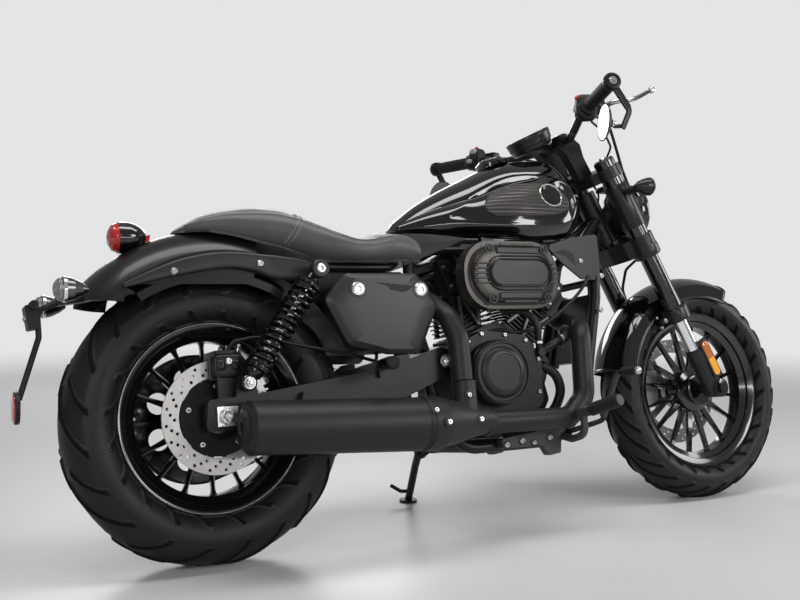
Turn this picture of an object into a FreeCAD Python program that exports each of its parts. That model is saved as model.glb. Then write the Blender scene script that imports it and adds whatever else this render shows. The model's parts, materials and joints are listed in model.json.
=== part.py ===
"""Cruiser motorcycle with a V-twin engine, parked leaning on its side stand. Sizes in millimetres.

While it is built the bike stands upright: x runs forward from the rear axle, y to the rider's left
and z up from the floor. At the end the whole bike leans over onto its stand and is moved so that
the origin lies on the floor under the middle of its length and width.
"""
import FreeCAD
import Part
import math
import os

V = FreeCAD.Vector

# Stance
WHEELBASE = 1420.0
LEAN = 9.0                # degrees to the left
RAKE = 26.2               # steering axis from the vertical, degrees
AXLE_AHEAD = 42.0         # front axle ahead of the steering axis
TAIL_REACH = 398.0        # rearmost point behind the rear axle
GAP = 0.3                 # between faces that seat on each other

# Tyres and rims
REAR_TYRE_R = 310.5
REAR_TYRE_W = 150.0
REAR_CROWN_R = 80.0
REAR_BEAD_R = 190.5
REAR_RIM_W = 101.6
FRONT_TYRE_R = 299.0
FRONT_TYRE_W = 120.0
FRONT_CROWN_R = 65.0
FRONT_BEAD_R = 203.2
FRONT_RIM_W = 76.2
TYRE_WALL = 14.0
FLANGE_H = 14.0
FLANGE_T = 6.0
RIM_DEPTH = 25.0
RIM_WALL = 7.0
SPOKES = 16
SPOKE_ROOT = (11.0, 20.0)  # width, thickness at the hub
SPOKE_TIP = (19.0, 30.0)   # width, thickness at the rim
HUB_R = 44.0
AXLE_R = 9.0

# Brakes and final drive
DISC_T = 4.5
REAR_DISC_R = 120.0
REAR_DISC_IN = 84.0
REAR_DISC_Y = -78.0
FRONT_DISC_R = 150.0
FRONT_DISC_IN = 112.0
FRONT_DISC_Y = 62.0
PAD_GAP = 2.0
PULLEY_R = 140.0
PULLEY_W = 26.0
PULLEY_Y = 96.0
DRIVE_R = 42.0
BELT_T = 5.0
BELT_W = 22.0

# Frame
TUBE_R = 14.0
RAIL_R = 10.0
SPINE_Y = 82.0
CRADLE_Y = 100.0
CRADLE_Z = 197.0
UPRIGHT_Y = 62.0
PIVOT = (528.0, 404.0)    # swingarm pivot, x and z
PIVOT_R = 8.0
REAR_TIE = (484.0, 676.0)  # cross tube behind the tank, x and z
TIE_R = 12.0
RAIL_Z = 632.0
RAIL_TIE_R = 8.0
HEAD_R = 30.0
STEM_R = 17.0
HEAD_LOW = 488.0          # along the steering axis
HEAD_HIGH = 640.0
ARM_IN = 114.0            # swingarm sides
ARM_T = 24.0

# Fork
FORK_Y = 98.0
FORK_AHEAD = 29.0         # fork tubes ahead of the steering axis
FORK_TOP = 704.0
FORK_UPPER_R = 28.5
FORK_LOWER_R = 25.0
FORK_SLIDER_R = 18.5
LOWER_CLAMP = (430.0, 480.0)
UPPER_CLAMP = (655.0, 686.0)
TUBE_END = 230.0
LUG_TOP = 125.0
LUG_R = 23.0
FOOT_HALF = 24.0

# Engine
CRANK = (720.0, 375.0)
REAR_BANK = -22.0         # cylinder axes from the vertical, degrees
FRONT_BANK = 40.0
DECK = 118.0              # along a cylinder axis, from the crank
CYLINDER_TOP = 222.0
HEAD_TOP = 292.0
COVER_TOP = 322.0
PORT_ALONG = 251.0
PORT_REACH = 68.0
PORT_Y = -20.0
FIN_HALF = 56.0
FIN_PITCH = 11.0
FIN_T = 4.0
CASE_Y = 80.0
CASE_BOTTOM = 225.0

# Exhaust
PIPE_R = 23.0
MUFFLER_R = 59.0
MUFFLER_Y = -200.0

# Fenders
REAR_FENDER_R = 400.0
REAR_FENDER_C = (30.0, 325.0)
REAR_FENDER_HALF = 95.0
FRONT_FENDER_R = FRONT_TYRE_R + 22.0
FRONT_FENDER_HALF = 68.0
FENDER_WALL = 3.0
STRUT_T = 10.0

# Shock absorbers
SHOCK_TOP = (216.0, 615.0)
SHOCK_FOOT = (45.0, 376.0)
SHOCK_Y = 150.0
SPRING_R = 30.0
SPRING_WIRE_R = 5.5
SPRING_TURNS = 10

# Handlebar
BAR_R = 11.0
GRIP_R = 17.0
BAR_END_Y = 401.0
BAR_END_Z = 1020.0
MIRROR_R = 43.0

# Side stand
STAND_PIVOT = (600.0, 140.0, 195.0)
STAND_FOOT = (649.0, 313.0)
STAND_FOLDED = (-0.97, 0.17, 0.10)   # way the leg points when folded back
STAND_R = 10.0
STAND_HEAD = 22.0
STAND_HEAD_R = 16.0
STAND_PIN_R = 6.0
STAND_BOW = V(0, 0, 6)
PIN_GAP = 0.1

SIDES = (-1, 1)
Y_AXIS = V(0, 1, 0)
NODES = {}


# ---------------------------------------------------------------- shapes


def keep(name, *solids):
    """Store the solids of one sub-part under its node name."""
    NODES.setdefault(name, []).extend(solids)


def outward(solid):
    """The solid with its faces pointing out."""
    return solid if solid.Volume > 0 else solid.reversed()


def joined(shapes):
    """One solid from overlapping shapes."""
    whole = shapes[0]
    for shape in shapes[1:]:
        whole = whole.fuse(shape)
    return whole.removeSplitter()


def rounded(points, bend, closed=False):
    """Wire of straight runs with tangent arcs of the bend radius at its corners."""
    pts = [V(*p) for p in points]
    edges = []
    start = pts[0]
    corners = list(zip(pts, pts[1:], pts[2:]))
    if closed:
        corners = list(zip(pts[-1:] + pts[:-1], pts, pts[1:] + pts[:1]))
        start = None
    first = None
    for before, corner, after in corners:
        to_before = before - corner
        to_after = after - corner
        half = (math.pi - to_before.getAngle(to_after)) / 2
        run = min(bend * math.tan(half), 0.45 * to_before.Length, 0.45 * to_after.Length)
        radius = run / math.tan(half)
        to_before.normalize()
        to_after.normalize()
        inward = (to_before + to_after).normalize()
        entry = corner + to_before * run
        leave = corner + to_after * run
        middle = corner + inward * (math.hypot(run, radius) - radius)
        if start is not None:
            edges.append(Part.LineSegment(start, entry).toShape())
        else:
            first = entry
        edges.append(Part.Arc(entry, middle, leave).toShape())
        start = leave
    edges.append(Part.LineSegment(start, first if closed else pts[-1]).toShape())
    return Part.Wire(edges)


def cylinder(start, end, radius):
    """Round bar between two points."""
    base = V(*start)
    along = V(*end) - base
    return Part.makeCylinder(radius, along.Length, base, along)


def sleeve(start, end, outer, inner):
    """Tube between two points."""
    return cylinder(start, end, outer).cut(cylinder(start, end, inner))


def rod(points, radius, bend):
    """Bent round bar through the points."""
    spine = rounded(points, bend)
    ring = Part.Wire([Part.makeCircle(radius, V(*points[0]), V(*points[1]) - V(*points[0]))])
    return spine.makePipeShell([ring], True, True)


def slab(outline, y0, y1, corner=0.0):
    """Plate of an (x, z) outline between two y values, its corners rounded."""
    points = [(x, y0, z) for x, z in outline]
    if corner:
        wire = rounded(points, corner, closed=True)
    else:
        wire = Part.makePolygon(points + points[:1])
    return Part.Face(wire).extrude(V(0, y1 - y0, 0))


def box(x0, x1, y0, y1, z0, z1):
    """Block between its corners."""
    return Part.makeBox(x1 - x0, y1 - y0, z1 - z0, V(x0, y0, z0))


def outline_face(items):
    """Face bounded by edges, each given by two points, or by three where it is an arc."""
    edges = [Part.Arc(*item) if len(item) == 3 else Part.LineSegment(*item) for item in items]
    return Part.Face(Part.Wire([edge.toShape() for edge in edges]))


def section_ring(points, centre_x, centre_z):
    """Solid turned about a wheel axis from a list of edges in (y, r), arcs as three points."""
    face = outline_face([[V(centre_x, y, centre_z + r) for y, r in item] for item in points])
    return outward(face.revolve(V(centre_x, 0, centre_z), Y_AXIS, 360))


def turned_edges(edges, base, along):
    """Solid turned about an axis from a list of edges in (distance along, radius)."""
    face = outline_face([[V(r, 0, s) for s, r in item] for item in edges])
    return placed(outward(face.revolve(V(0, 0, 0), V(0, 0, 1), 360)), base, along)


def turned(profile, base, along):
    """Solid turned about an axis from (distance along, radius) corners of its outline."""
    return turned_edges(list(zip(profile, profile[1:] + profile[:1])), base, along)


def placed(shape, base, along):
    """Shape built up +z from the origin, moved to a base point and turned to a direction."""
    moved = shape.copy()
    turn = FreeCAD.Rotation(V(0, 0, 1), V(*along))
    moved.Placement = FreeCAD.Placement(V(*base), turn)
    return moved


def both_sides(make):
    """The shapes of a function of side, -1 for right and 1 for left."""
    return [make(side) for side in SIDES]


def around(shape, count, centre, axis=Y_AXIS):
    """Copies of a shape spaced evenly about an axis."""
    copies = []
    for index in range(count):
        copy = shape.copy()
        copy.rotate(V(*centre), axis, index * 360.0 / count)
        copies.append(copy)
    return copies


# ---------------------------------------------------------------- steering frame

RAKE_RAD = math.radians(RAKE)
UP_FORK = V(-math.sin(RAKE_RAD), 0, math.cos(RAKE_RAD))
AHEAD = V(math.cos(RAKE_RAD), 0, math.sin(RAKE_RAD))
FRONT_AXLE = V(WHEELBASE, 0, FRONT_TYRE_R)
STEER_FOOT = FRONT_AXLE - AHEAD * AXLE_AHEAD


def fork_point(ahead, y, up):
    """Point given by its distance ahead of the steering axis, sideways and up along it."""
    point = STEER_FOOT + AHEAD * ahead + UP_FORK * up
    return (point.x, y, point.z)


def on_fork(shape):
    """Shape built with x ahead, z up the steering axis, moved to the steering axis."""
    moved = shape.copy()
    moved.rotate(V(0, 0, 0), Y_AXIS, -RAKE)
    moved.translate(STEER_FOOT)
    return moved


# ---------------------------------------------------------------- side stand's pivot

LEAN_RAD = math.radians(LEAN)
LIFT = REAR_CROWN_R * (1 - math.cos(LEAN_RAD))
FLOOR_UP = V(0, -math.sin(LEAN_RAD), math.cos(LEAN_RAD))
STAND_AT = V(*STAND_PIVOT)
# the foot's sole, on the floor once the bike has leaned over
STAND_TOE = V(*STAND_FOOT, (STAND_FOOT[1] * math.sin(LEAN_RAD) - LIFT) / math.cos(LEAN_RAD))
STAND_DOWN = (STAND_TOE - STAND_AT).normalize()
STAND_UP = V(*STAND_FOLDED).normalize()
STAND_AXIS = STAND_DOWN.cross(STAND_UP).normalize()
STAND_SWING = math.degrees(STAND_DOWN.getAngle(STAND_UP))


# ---------------------------------------------------------------- wheels


def tyre(x, radius, width, crown, bead, rim_width):
    """Tyre: crown and sidewall arcs outside, one arc inside, beads on the rim."""
    tread = 0.41 * width
    shoulder = radius - crown + math.sqrt(crown ** 2 - tread ** 2)
    seat = bead + GAP
    foot = rim_width / 2 - GAP
    toe = foot - TYRE_WALL
    lip = bead + FLANGE_H + 4
    wide = (width / 2, (shoulder + lip) / 2 + 12)
    edges = [((-tread, shoulder), (0, radius), (tread, shoulder)),
             ((tread, shoulder), wide, (foot, lip)),
             ((foot, lip), (foot, seat)),
             ((foot, seat), (toe, seat)),
             ((toe, seat), (0, radius - TYRE_WALL), (-toe, seat)),
             ((-toe, seat), (-foot, seat)),
             ((-foot, seat), (-foot, lip)),
             ((-foot, lip), (-wide[0], wide[1]), (-tread, shoulder))]
    return section_ring(edges, x, radius)


def rim(x, centre_z, bead, rim_width, hub_half, phase):
    """Cast wheel: flanged barrel, tapered spokes and a bored hub, all in one piece."""
    inner = rim_width / 2
    outer = inner + FLANGE_T
    well = inner - 24
    side = [(outer, bead + FLANGE_H), (inner, bead + FLANGE_H), (inner, bead),
            (inner - 14, bead), (well, bead - RIM_DEPTH + RIM_WALL)]
    under = [(well, bead - RIM_DEPTH), (outer - 14, bead - RIM_WALL), (outer, bead - RIM_WALL + 4)]
    half = [(-y, r) for y, r in side] + [(y, r) for y, r in reversed(side)]
    closing = [(y, r) for y, r in reversed(under)] + [(-y, r) for y, r in under]
    corners = half + closing
    edges = list(zip(corners, corners[1:] + corners[:1]))
    barrel = section_ring(edges, x, centre_z)
    root = HUB_R - 6
    tip = bead - RIM_DEPTH + 3
    wires = []
    for reach, (wide, thick) in ((root, SPOKE_ROOT), (tip, SPOKE_TIP)):
        corner = [(x + reach, -thick / 2, centre_z - wide / 2), (x + reach, thick / 2, centre_z - wide / 2),
                  (x + reach, thick / 2, centre_z + wide / 2), (x + reach, -thick / 2, centre_z + wide / 2)]
        wires.append(Part.makePolygon(corner + corner[:1]))
    spoke = Part.makeLoft(wires, True, True)
    spoke.rotate(V(x, 0, centre_z), Y_AXIS, -phase)
    hub = sleeve((x, -hub_half, centre_z), (x, hub_half, centre_z), HUB_R, AXLE_R + GAP)
    bore = cylinder((x, -hub_half - 1, centre_z), (x, hub_half + 1, centre_z), AXLE_R + GAP)
    return joined([barrel, hub] + around(spoke, SPOKES, (x, 0, centre_z))).cut(bore)


def brake_disc(x, centre_z, y, outer, inner, hub_half, bolts):
    """Drilled brake ring on an armed carrier that bolts to the hub's end."""
    low = y - DISC_T / 2
    high = y + DISC_T / 2
    ring = sleeve((x, low, centre_z), (x, high, centre_z), outer, inner)
    holes = []
    for row in range(3):
        reach = inner + (outer - inner) * (row + 1) / 4
        drill = cylinder((x + reach, low - 1, centre_z), (x + reach, high + 1, centre_z), 3.5)
        drill.rotate(V(x, 0, centre_z), Y_AXIS, row * 6.0)
        holes += around(drill, 20, (x, 0, centre_z))
    ring = ring.cut(Part.makeCompound(holes))
    side = 1 if y > 0 else -1
    face = side * (hub_half + GAP)
    carrier = sleeve((x, face, centre_z), (x, y, centre_z), HUB_R + 6, AXLE_R + 8)
    arm = box(x + HUB_R, x + inner + 8, low + 0.5, high - 0.5, centre_z - 11, centre_z + 11)
    return joined([ring, carrier] + around(arm, bolts, (x, 0, centre_z)))


REAR_HUB_HALF = 58.0
FRONT_HUB_HALF = 45.0

keep("rear_tyre", tyre(0, REAR_TYRE_R, REAR_TYRE_W, REAR_CROWN_R, REAR_BEAD_R, REAR_RIM_W))
keep("rear_rim", rim(0, REAR_TYRE_R, REAR_BEAD_R, REAR_RIM_W, REAR_HUB_HALF, 2.0))
keep("rear_disc", brake_disc(0, REAR_TYRE_R, REAR_DISC_Y, REAR_DISC_R, REAR_DISC_IN, REAR_HUB_HALF, 5))
keep("front_tyre", tyre(WHEELBASE, FRONT_TYRE_R, FRONT_TYRE_W, FRONT_CROWN_R, FRONT_BEAD_R, FRONT_RIM_W))
keep("front_rim", rim(WHEELBASE, FRONT_TYRE_R, FRONT_BEAD_R, FRONT_RIM_W, FRONT_HUB_HALF, 14.0))
keep("front_disc", brake_disc(WHEELBASE, FRONT_TYRE_R, FRONT_DISC_Y, FRONT_DISC_R, FRONT_DISC_IN,
                              FRONT_HUB_HALF, 5))

# Belt pulley on the rear wheel's left side: toothed rim, windowed web and boss.
PULLEY_LOW = PULLEY_Y - PULLEY_W / 2
PULLEY_HIGH = PULLEY_Y + PULLEY_W / 2
pulley_rim = sleeve((0, PULLEY_LOW, REAR_TYRE_R), (0, PULLEY_HIGH, REAR_TYRE_R), PULLEY_R, PULLEY_R - 16)
pulley_web = sleeve((0, PULLEY_Y - 5, REAR_TYRE_R), (0, PULLEY_Y + 5, REAR_TYRE_R), PULLEY_R - 10, HUB_R - 10)
window = cylinder((92, PULLEY_LOW, REAR_TYRE_R), (92, PULLEY_HIGH, REAR_TYRE_R), 24.0)
pulley_boss = sleeve((0, REAR_HUB_HALF + GAP, REAR_TYRE_R), (0, PULLEY_Y + 8, REAR_TYRE_R), HUB_R, AXLE_R + 8)
windows = Part.makeCompound(around(window, 7, (0, 0, REAR_TYRE_R)))
keep("rear_pulley", joined([pulley_rim, pulley_web.cut(windows), pulley_boss]))


# ---------------------------------------------------------------- fuel tank's outline


def shell_section(x, low, wide, edge, top, half_low, half_wide, half_edge):
    """Closed section across the bike: flat bottom, two side arcs and a crowned top arc."""
    corners = [V(x, -half_low, low), V(x, half_low, low), V(x, half_edge, edge), V(x, -half_edge, edge)]
    edges = [Part.LineSegment(corners[0], corners[1]).toShape(),
             Part.Arc(corners[1], V(x, half_wide, wide), corners[2]).toShape(),
             Part.Arc(corners[2], V(x, 0, top), corners[3]).toShape(),
             Part.Arc(corners[3], V(x, -half_wide, wide), corners[0]).toShape()]
    return Part.Wire(edges)


# x, bottom z, z of the widest point, z of the crown's edge, top z, half widths at the same three
TANK_SECTIONS = ((484, 727, 735, 744, 752, 22, 32, 24),
                 (560, 716, 742, 775, 806, 52, 70, 48),
                 (680, 708, 752, 812, 868, 84, 112, 72),
                 (830, 706, 775, 864, 928, 104, 143, 86),
                 (940, 712, 792, 878, 938, 96, 140, 84),
                 (1006, 742, 810, 866, 900, 62, 96, 60))


def tank_shape(grow):
    """Fuel tank, or the same shape grown sideways and up."""
    wires = []
    for x, low, wide, edge, top, half_low, half_wide, half_edge in TANK_SECTIONS:
        wires.append(shell_section(x, low - grow, wide, edge + grow, top + grow, half_low + grow,
                                   half_wide + grow, half_edge + grow))
    return Part.makeLoft(wires, True, False)


# ---------------------------------------------------------------- frame


def cradle_side(side):
    """Front down tube, lower rail and rear upright of one side, one bent tube."""
    low = side * CRADLE_Y
    points = [(1122, side * 18, 742), (1050, side * 80, 676), (1030, side * 92, 555),
              (976, side * CRADLE_Y, 361), (916, side * CRADLE_Y, 243), (850, low, CRADLE_Z),
              (590, low, CRADLE_Z), (545, side * 82, 262), (PIVOT[0], side * UPRIGHT_Y, 340),
              (PIVOT[0], side * UPRIGHT_Y, PIVOT[1]), (489, side * UPRIGHT_Y, 540),
              (REAR_TIE[0], side * SPINE_Y, REAR_TIE[1])]
    return rod(points, TUBE_R, 60.0)


def spine_side(side):
    """Upper tube of one side, from the head tube back under the tank to the seat."""
    points = [(1118, side * 18, 778), (1010, side * SPINE_Y, 700), (840, side * SPINE_Y, 686),
              (REAR_TIE[0] - 10, side * SPINE_Y, REAR_TIE[1])]
    return rod(points, TUBE_R, 70.0)


def cross_tube(x, z, half, radius):
    """Tube across the bike."""
    return cylinder((x, -half, z), (x, half, z), radius)


TANK_PADS = (690.0, 880.0)
# x, z, half length, radius of the tubes that tie the two sides together
CROSS_TUBES = ((1036, 600, 88, 10), (820, CRADLE_Z, CRADLE_Y, 12), (620, CRADLE_Z, CRADLE_Y, 12),
               (PIVOT[0], PIVOT[1], ARM_IN - GAP, 13), (*REAR_TIE, SPINE_Y, TIE_R))
head_tube = cylinder(fork_point(0, 0, HEAD_LOW), fork_point(0, 0, HEAD_HIGH), HEAD_R)
head_bore = cylinder(fork_point(0, 0, HEAD_LOW - 1), fork_point(0, 0, HEAD_HIGH + 1), STEM_R + GAP)
gusset = slab([(1116, 800), (1132, 720), (1060, 690), (1000, 702), (1010, 716)], -6, 6)
pivot_bore = cross_tube(PIVOT[0], PIVOT[1], 200, PIVOT_R + GAP)
frame_tubes = both_sides(cradle_side) + both_sides(spine_side)
frame_tubes += [cross_tube(*row) for row in CROSS_TUBES]
frame_tubes += [head_tube, gusset, cylinder((1004, 0, 706), (1118, 0, 770), 16),
                cross_tube(1006, 702, SPINE_Y, 12)]
stand_eye = STAND_AT - STAND_AXIS * (STAND_HEAD / 2 + PIN_GAP + 4)
frame_tubes += [cylinder(stand_eye - STAND_AXIS * 4, stand_eye + STAND_AXIS * 4, STAND_HEAD_R),
                cylinder((STAND_AT.x, CRADLE_Y, CRADLE_Z - 6), stand_eye - STAND_AXIS * 6, 8),
                cylinder(stand_eye, STAND_AT + STAND_AXIS * (STAND_HEAD / 2 + 8), STAND_PIN_R),
                cylinder(STAND_AT + STAND_AXIS * (STAND_HEAD / 2 + 1), STAND_AT + STAND_AXIS * (STAND_HEAD / 2 + 7),
                         STAND_PIN_R + 4)]
pads = [box(x, x + 36, min(side * 74, side * 90), max(side * 74, side * 90), 690, 720).cut(tank_shape(GAP))
        for side in SIDES for x in TANK_PADS]
keep("main_frame", joined(frame_tubes + pads).cut(head_bore).cut(pivot_bore))


def seat_rail(side):
    """Bolt-on rail of one side that carries the seat and the rear fender."""
    y = side * (REAR_FENDER_HALF - RAIL_R)
    return rod([(REAR_TIE[0], side * 50, REAR_TIE[1]), (434, y, RAIL_Z), (125, y, RAIL_Z)], RAIL_R, 50.0)


rails = both_sides(seat_rail)
rails += [cross_tube(x, RAIL_Z, REAR_FENDER_HALF - RAIL_R, RAIL_TIE_R) for x in (240, 420)]
keep("seat_rails", joined(rails).cut(cross_tube(*REAR_TIE, SPINE_Y, TIE_R + GAP)))


# ---------------------------------------------------------------- swingarm, shocks and axle


AXLE_END = ARM_IN + ARM_T


def arm_side(side):
    """Box-section arm of one side, from the pivot to the axle slot."""
    inner = side * ARM_IN
    outline = [(556, 428), (520, 438), (368, 394), (60, 352), (-38, 346), (-44, 280), (60, 284),
               (400, 318), (548, 376)]
    return slab(outline, inner, inner + side * ARM_T, 12)


swing = both_sides(arm_side)
swing += [cross_tube(392, 358, ARM_IN + 4, 24), slab([(352, 384), (440, 402), (440, 346), (352, 330)],
                                                     -ARM_IN - 4, -ARM_IN + 30, 6)]
for side in SIDES:
    swing += [slab([(20, 340), (72, 346), (62, 392), (30, 392)], side * (AXLE_END - 12), side * AXLE_END, 6),
              cylinder((SHOCK_FOOT[0], side * (AXLE_END - 6), SHOCK_FOOT[1]),
                       (SHOCK_FOOT[0], side * (SHOCK_Y - 11 - GAP), SHOCK_FOOT[1]), 10)]
swing_cut = [pivot_bore, cylinder((0, -200, REAR_TYRE_R), (0, 200, REAR_TYRE_R), AXLE_R + GAP)]
keep("swingarm", joined(swing).cut(Part.makeCompound(swing_cut)))

# Rear axle: the bar with its end nuts, wheel spacers and the square belt-adjuster plates.
adjusters = []
for side in SIDES:
    face = side * (AXLE_END + GAP)
    adjusters.append(box(-22, 22, min(face, face + side * 8), max(face, face + side * 8),
                         REAR_TYRE_R - 20, REAR_TYRE_R + 20))
    adjusters.append(cylinder((0, face, REAR_TYRE_R), (0, face + side * 20, REAR_TYRE_R), 15))
    adjusters.append(sleeve((0, side * (ARM_IN - GAP), REAR_TYRE_R),
                            (0, side * (ARM_IN - 8), REAR_TYRE_R), 16, AXLE_R - 1))
axle_bar = cylinder((0, -AXLE_END - 10, REAR_TYRE_R), (0, AXLE_END + 10, REAR_TYRE_R), AXLE_R)
keep("rear_axle", joined([axle_bar] + adjusters))
keep("pivot_bolt", joined([cross_tube(PIVOT[0], PIVOT[1], AXLE_END + 4, PIVOT_R),
                           cylinder((PIVOT[0], -AXLE_END - GAP, PIVOT[1]),
                                    (PIVOT[0], -AXLE_END - 4 - GAP, PIVOT[1]), 11),
                           cylinder((PIVOT[0], AXLE_END + GAP, PIVOT[1]),
                                    (PIVOT[0], AXLE_END + 10, PIVOT[1]), 11)]))


def coil_outline(low, high, core_r):
    """Edges in (along, r) of a damper core with the spring's turns wound round it."""
    coil_r = SPRING_R - SPRING_WIRE_R
    pitch = (high - low) / SPRING_TURNS
    reach = math.sqrt(SPRING_WIRE_R ** 2 - (coil_r - core_r) ** 2)
    edges = []
    start = (low, core_r)
    for turn in range(SPRING_TURNS):
        middle = low + (turn + 0.5) * pitch
        end = (middle + reach, core_r)
        edges.append((start, (middle - reach, core_r)))
        edges.append(((middle - reach, core_r), (middle, SPRING_R), end))
        start = end
    edges.append((start, (high, core_r)))
    return edges


def shock(side):
    """Coil-over shock absorber of one side, leaning forward from the arm to the strut."""
    foot = V(SHOCK_FOOT[0], side * SHOCK_Y, SHOCK_FOOT[1])
    top = V(SHOCK_TOP[0], side * SHOCK_Y, SHOCK_TOP[1])
    along = top - foot
    length = along.Length
    low = 40.0
    high = length - 46.0
    core_r = SPRING_R - 2 * SPRING_WIRE_R + 1
    foot_end = [(0, 0), (0, 10), (low - 10, 13), (low - 8, SPRING_R), (low, SPRING_R), (low, core_r)]
    top_end = [(high, core_r), (high, SPRING_R), (high + 8, SPRING_R), (high + 10, core_r),
               (length - 24, 11), (length, 10), (length, 0), (0, 0)]
    edges = list(zip(foot_end, foot_end[1:])) + coil_outline(low, high, core_r)
    edges += list(zip(top_end, top_end[1:]))
    pieces = [turned_edges(edges, foot, along)]
    for x, z in (SHOCK_FOOT, SHOCK_TOP):
        pieces.append(cylinder((x, side * (SHOCK_Y - 11), z), (x, side * (SHOCK_Y + 13), z), 14))
    return joined(pieces)


keep("shocks", *both_sides(shock))


# ---------------------------------------------------------------- engine


def bank_point(bank, along, across):
    """Point (x, z) at a distance along a cylinder axis and ahead across it."""
    angle = math.radians(bank)
    return (CRANK[0] + along * math.sin(angle) + across * math.cos(angle),
            CRANK[1] + along * math.cos(angle) - across * math.sin(angle))


def bank_block(bank, low, high, half, y_half, corner=8.0):
    """Block square to a cylinder axis."""
    outline = [bank_point(bank, along, across) for along, across in
               ((low, -half), (high, -half), (high, half), (low, half))]
    return slab(outline, -y_half, y_half, corner)


def bank_cylinder(bank):
    """Finned cylinder barrel of one bank."""
    low = bank_point(bank, DECK, 0)
    high = bank_point(bank, CYLINDER_TOP - GAP, 0)
    pieces = [cylinder((low[0], 0, low[1]), (high[0], 0, high[1]), FIN_HALF - 10)]
    reach = DECK + 8
    while reach + FIN_T < CYLINDER_TOP - 4:
        pieces.append(bank_block(bank, reach, reach + FIN_T, FIN_HALF, FIN_HALF + 4, 1.5))
        reach += FIN_PITCH
    return joined(pieces)


def bank_head(bank, port):
    """Cylinder head of one bank with its rocker cover; port is the exhaust side."""
    near = bank_point(bank, PORT_ALONG, 0)
    far = bank_point(bank, PORT_ALONG, port * PORT_REACH)
    return joined([bank_block(bank, CYLINDER_TOP, HEAD_TOP, FIN_HALF + 2, FIN_HALF + 6, 10),
                   bank_block(bank, HEAD_TOP - 2, COVER_TOP, FIN_HALF - 8, FIN_HALF - 2, 12),
                   cylinder((near[0], PORT_Y, near[1]), (far[0], PORT_Y, far[1]), PIPE_R + 6)])


case_outline = [(576, 436), (616, 452), (690, 470), (780, 455), (836, 408), (862, 300),
                (812, CASE_BOTTOM), (620, CASE_BOTTOM), (572, 300)]
decks = [bank_block(bank, 60, DECK - GAP, FIN_HALF + 6, FIN_HALF + 12, 6) for bank in (REAR_BANK, FRONT_BANK)]
lugs = [box(x - 14, x + 14, -60, 60, CRADLE_Z + 12 + GAP, CASE_BOTTOM + 4) for x in (620, 820)]
keep("engine_case", joined([slab(case_outline, -CASE_Y, CASE_Y, 18)] + decks + lugs))
keep("cylinders", bank_cylinder(REAR_BANK), bank_cylinder(FRONT_BANK))
keep("cylinder_heads", bank_head(REAR_BANK, -1), bank_head(FRONT_BANK, 1))

# Side covers of the engine: clutch on the right, generator and drive pulley on the left.
COVER_FACE = 131.0
CLUTCH = (672.0, 371.0)
CLUTCH_R = 79.0
GENERATOR = (752.0, 372.0)
clutch_base = slab([(592, 452), (650, 474), (770, 460), (812, 400), (806, 292), (740, 252), (630, 252),
                    (594, 300)], -CASE_Y - GAP, -COVER_FACE, 16)
clutch_drum = turned([(0, 0), (0, CLUTCH_R), (20, CLUTCH_R), (30, CLUTCH_R - 8), (30, CLUTCH_R - 12),
                      (26, CLUTCH_R - 14), (32, CLUTCH_R - 22), (36, 0)],
                     (CLUTCH[0], -COVER_FACE + 6, CLUTCH[1]), (0, -1, 0))
generator_base = slab([(650, 468), (800, 456), (846, 372), (812, 270), (650, 250)],
                      CASE_Y + GAP, COVER_FACE - 6, 20)
generator_drum = turned([(0, 0), (0, 76), (18, 76), (30, 62), (34, 0)],
                        (GENERATOR[0], COVER_FACE - 10, GENERATOR[1]), (0, 1, 0))
DRIVE = (586.0, 404.0)
drive_cover = slab([(640, 462), (580, 462), (563, 430), (563, 370), (580, 340), (640, 350)],
                   PULLEY_HIGH + 4, PULLEY_HIGH + 18, 20)
drive_cover_posts = [cylinder((x, CASE_Y + GAP, z), (x, PULLEY_HIGH + 6, z), 7)
                     for x, z in ((634, 446), (630, 352))]
keep("engine_covers", joined([clutch_base, clutch_drum]), joined([generator_base, generator_drum]),
     joined([drive_cover] + drive_cover_posts))


# ---------------------------------------------------------------- final drive belt


def tangent_loop(near, near_r, far, far_r):
    """Face bounded by two circles and their outer tangents, in the y = 0 plane."""
    near_c = V(near[0], 0, near[1])
    far_c = V(far[0], 0, far[1])
    along = far_c - near_c
    tilt = math.asin((near_r - far_r) / along.Length)
    heading = math.atan2(along.z, along.x)
    rim_points = []
    for side in SIDES:
        angle = heading + side * (math.pi / 2 - tilt)
        out = V(math.cos(angle), 0, math.sin(angle))
        rim_points.append((near_c + out * near_r, far_c + out * far_r))
    back = V(math.cos(heading), 0, math.sin(heading))
    (near_low, far_low), (near_high, far_high) = rim_points
    edges = [Part.LineSegment(near_low, far_low).toShape(),
             Part.Arc(far_low, far_c + back * far_r, far_high).toShape(),
             Part.LineSegment(far_high, near_high).toShape(),
             Part.Arc(near_high, near_c - back * near_r, near_low).toShape()]
    return Part.Face(Part.Wire(edges))


AXLE_XZ = (0.0, REAR_TYRE_R)
outer_loop = tangent_loop(AXLE_XZ, PULLEY_R + GAP + BELT_T, DRIVE, DRIVE_R + GAP + BELT_T)
inner_loop = tangent_loop(AXLE_XZ, PULLEY_R + GAP, DRIVE, DRIVE_R + GAP)
belt = outer_loop.cut(inner_loop).extrude(V(0, BELT_W, 0))
belt.translate(V(0, PULLEY_Y - BELT_W / 2, 0))
keep("drive_belt", belt)
keep("drive_pulley", cylinder((DRIVE[0], CASE_Y + GAP, DRIVE[1]),
                              (DRIVE[0], PULLEY_HIGH, DRIVE[1]), DRIVE_R))


# ---------------------------------------------------------------- intake, cooling and exhaust


def stadium(x0, x1, z0, z1, y0, y1):
    """Block with fully rounded ends."""
    half = (z1 - z0) / 2
    return slab([(x0, z0), (x1, z0), (x1, z1), (x0, z1)], y0, y1, half * 0.999)


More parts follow.
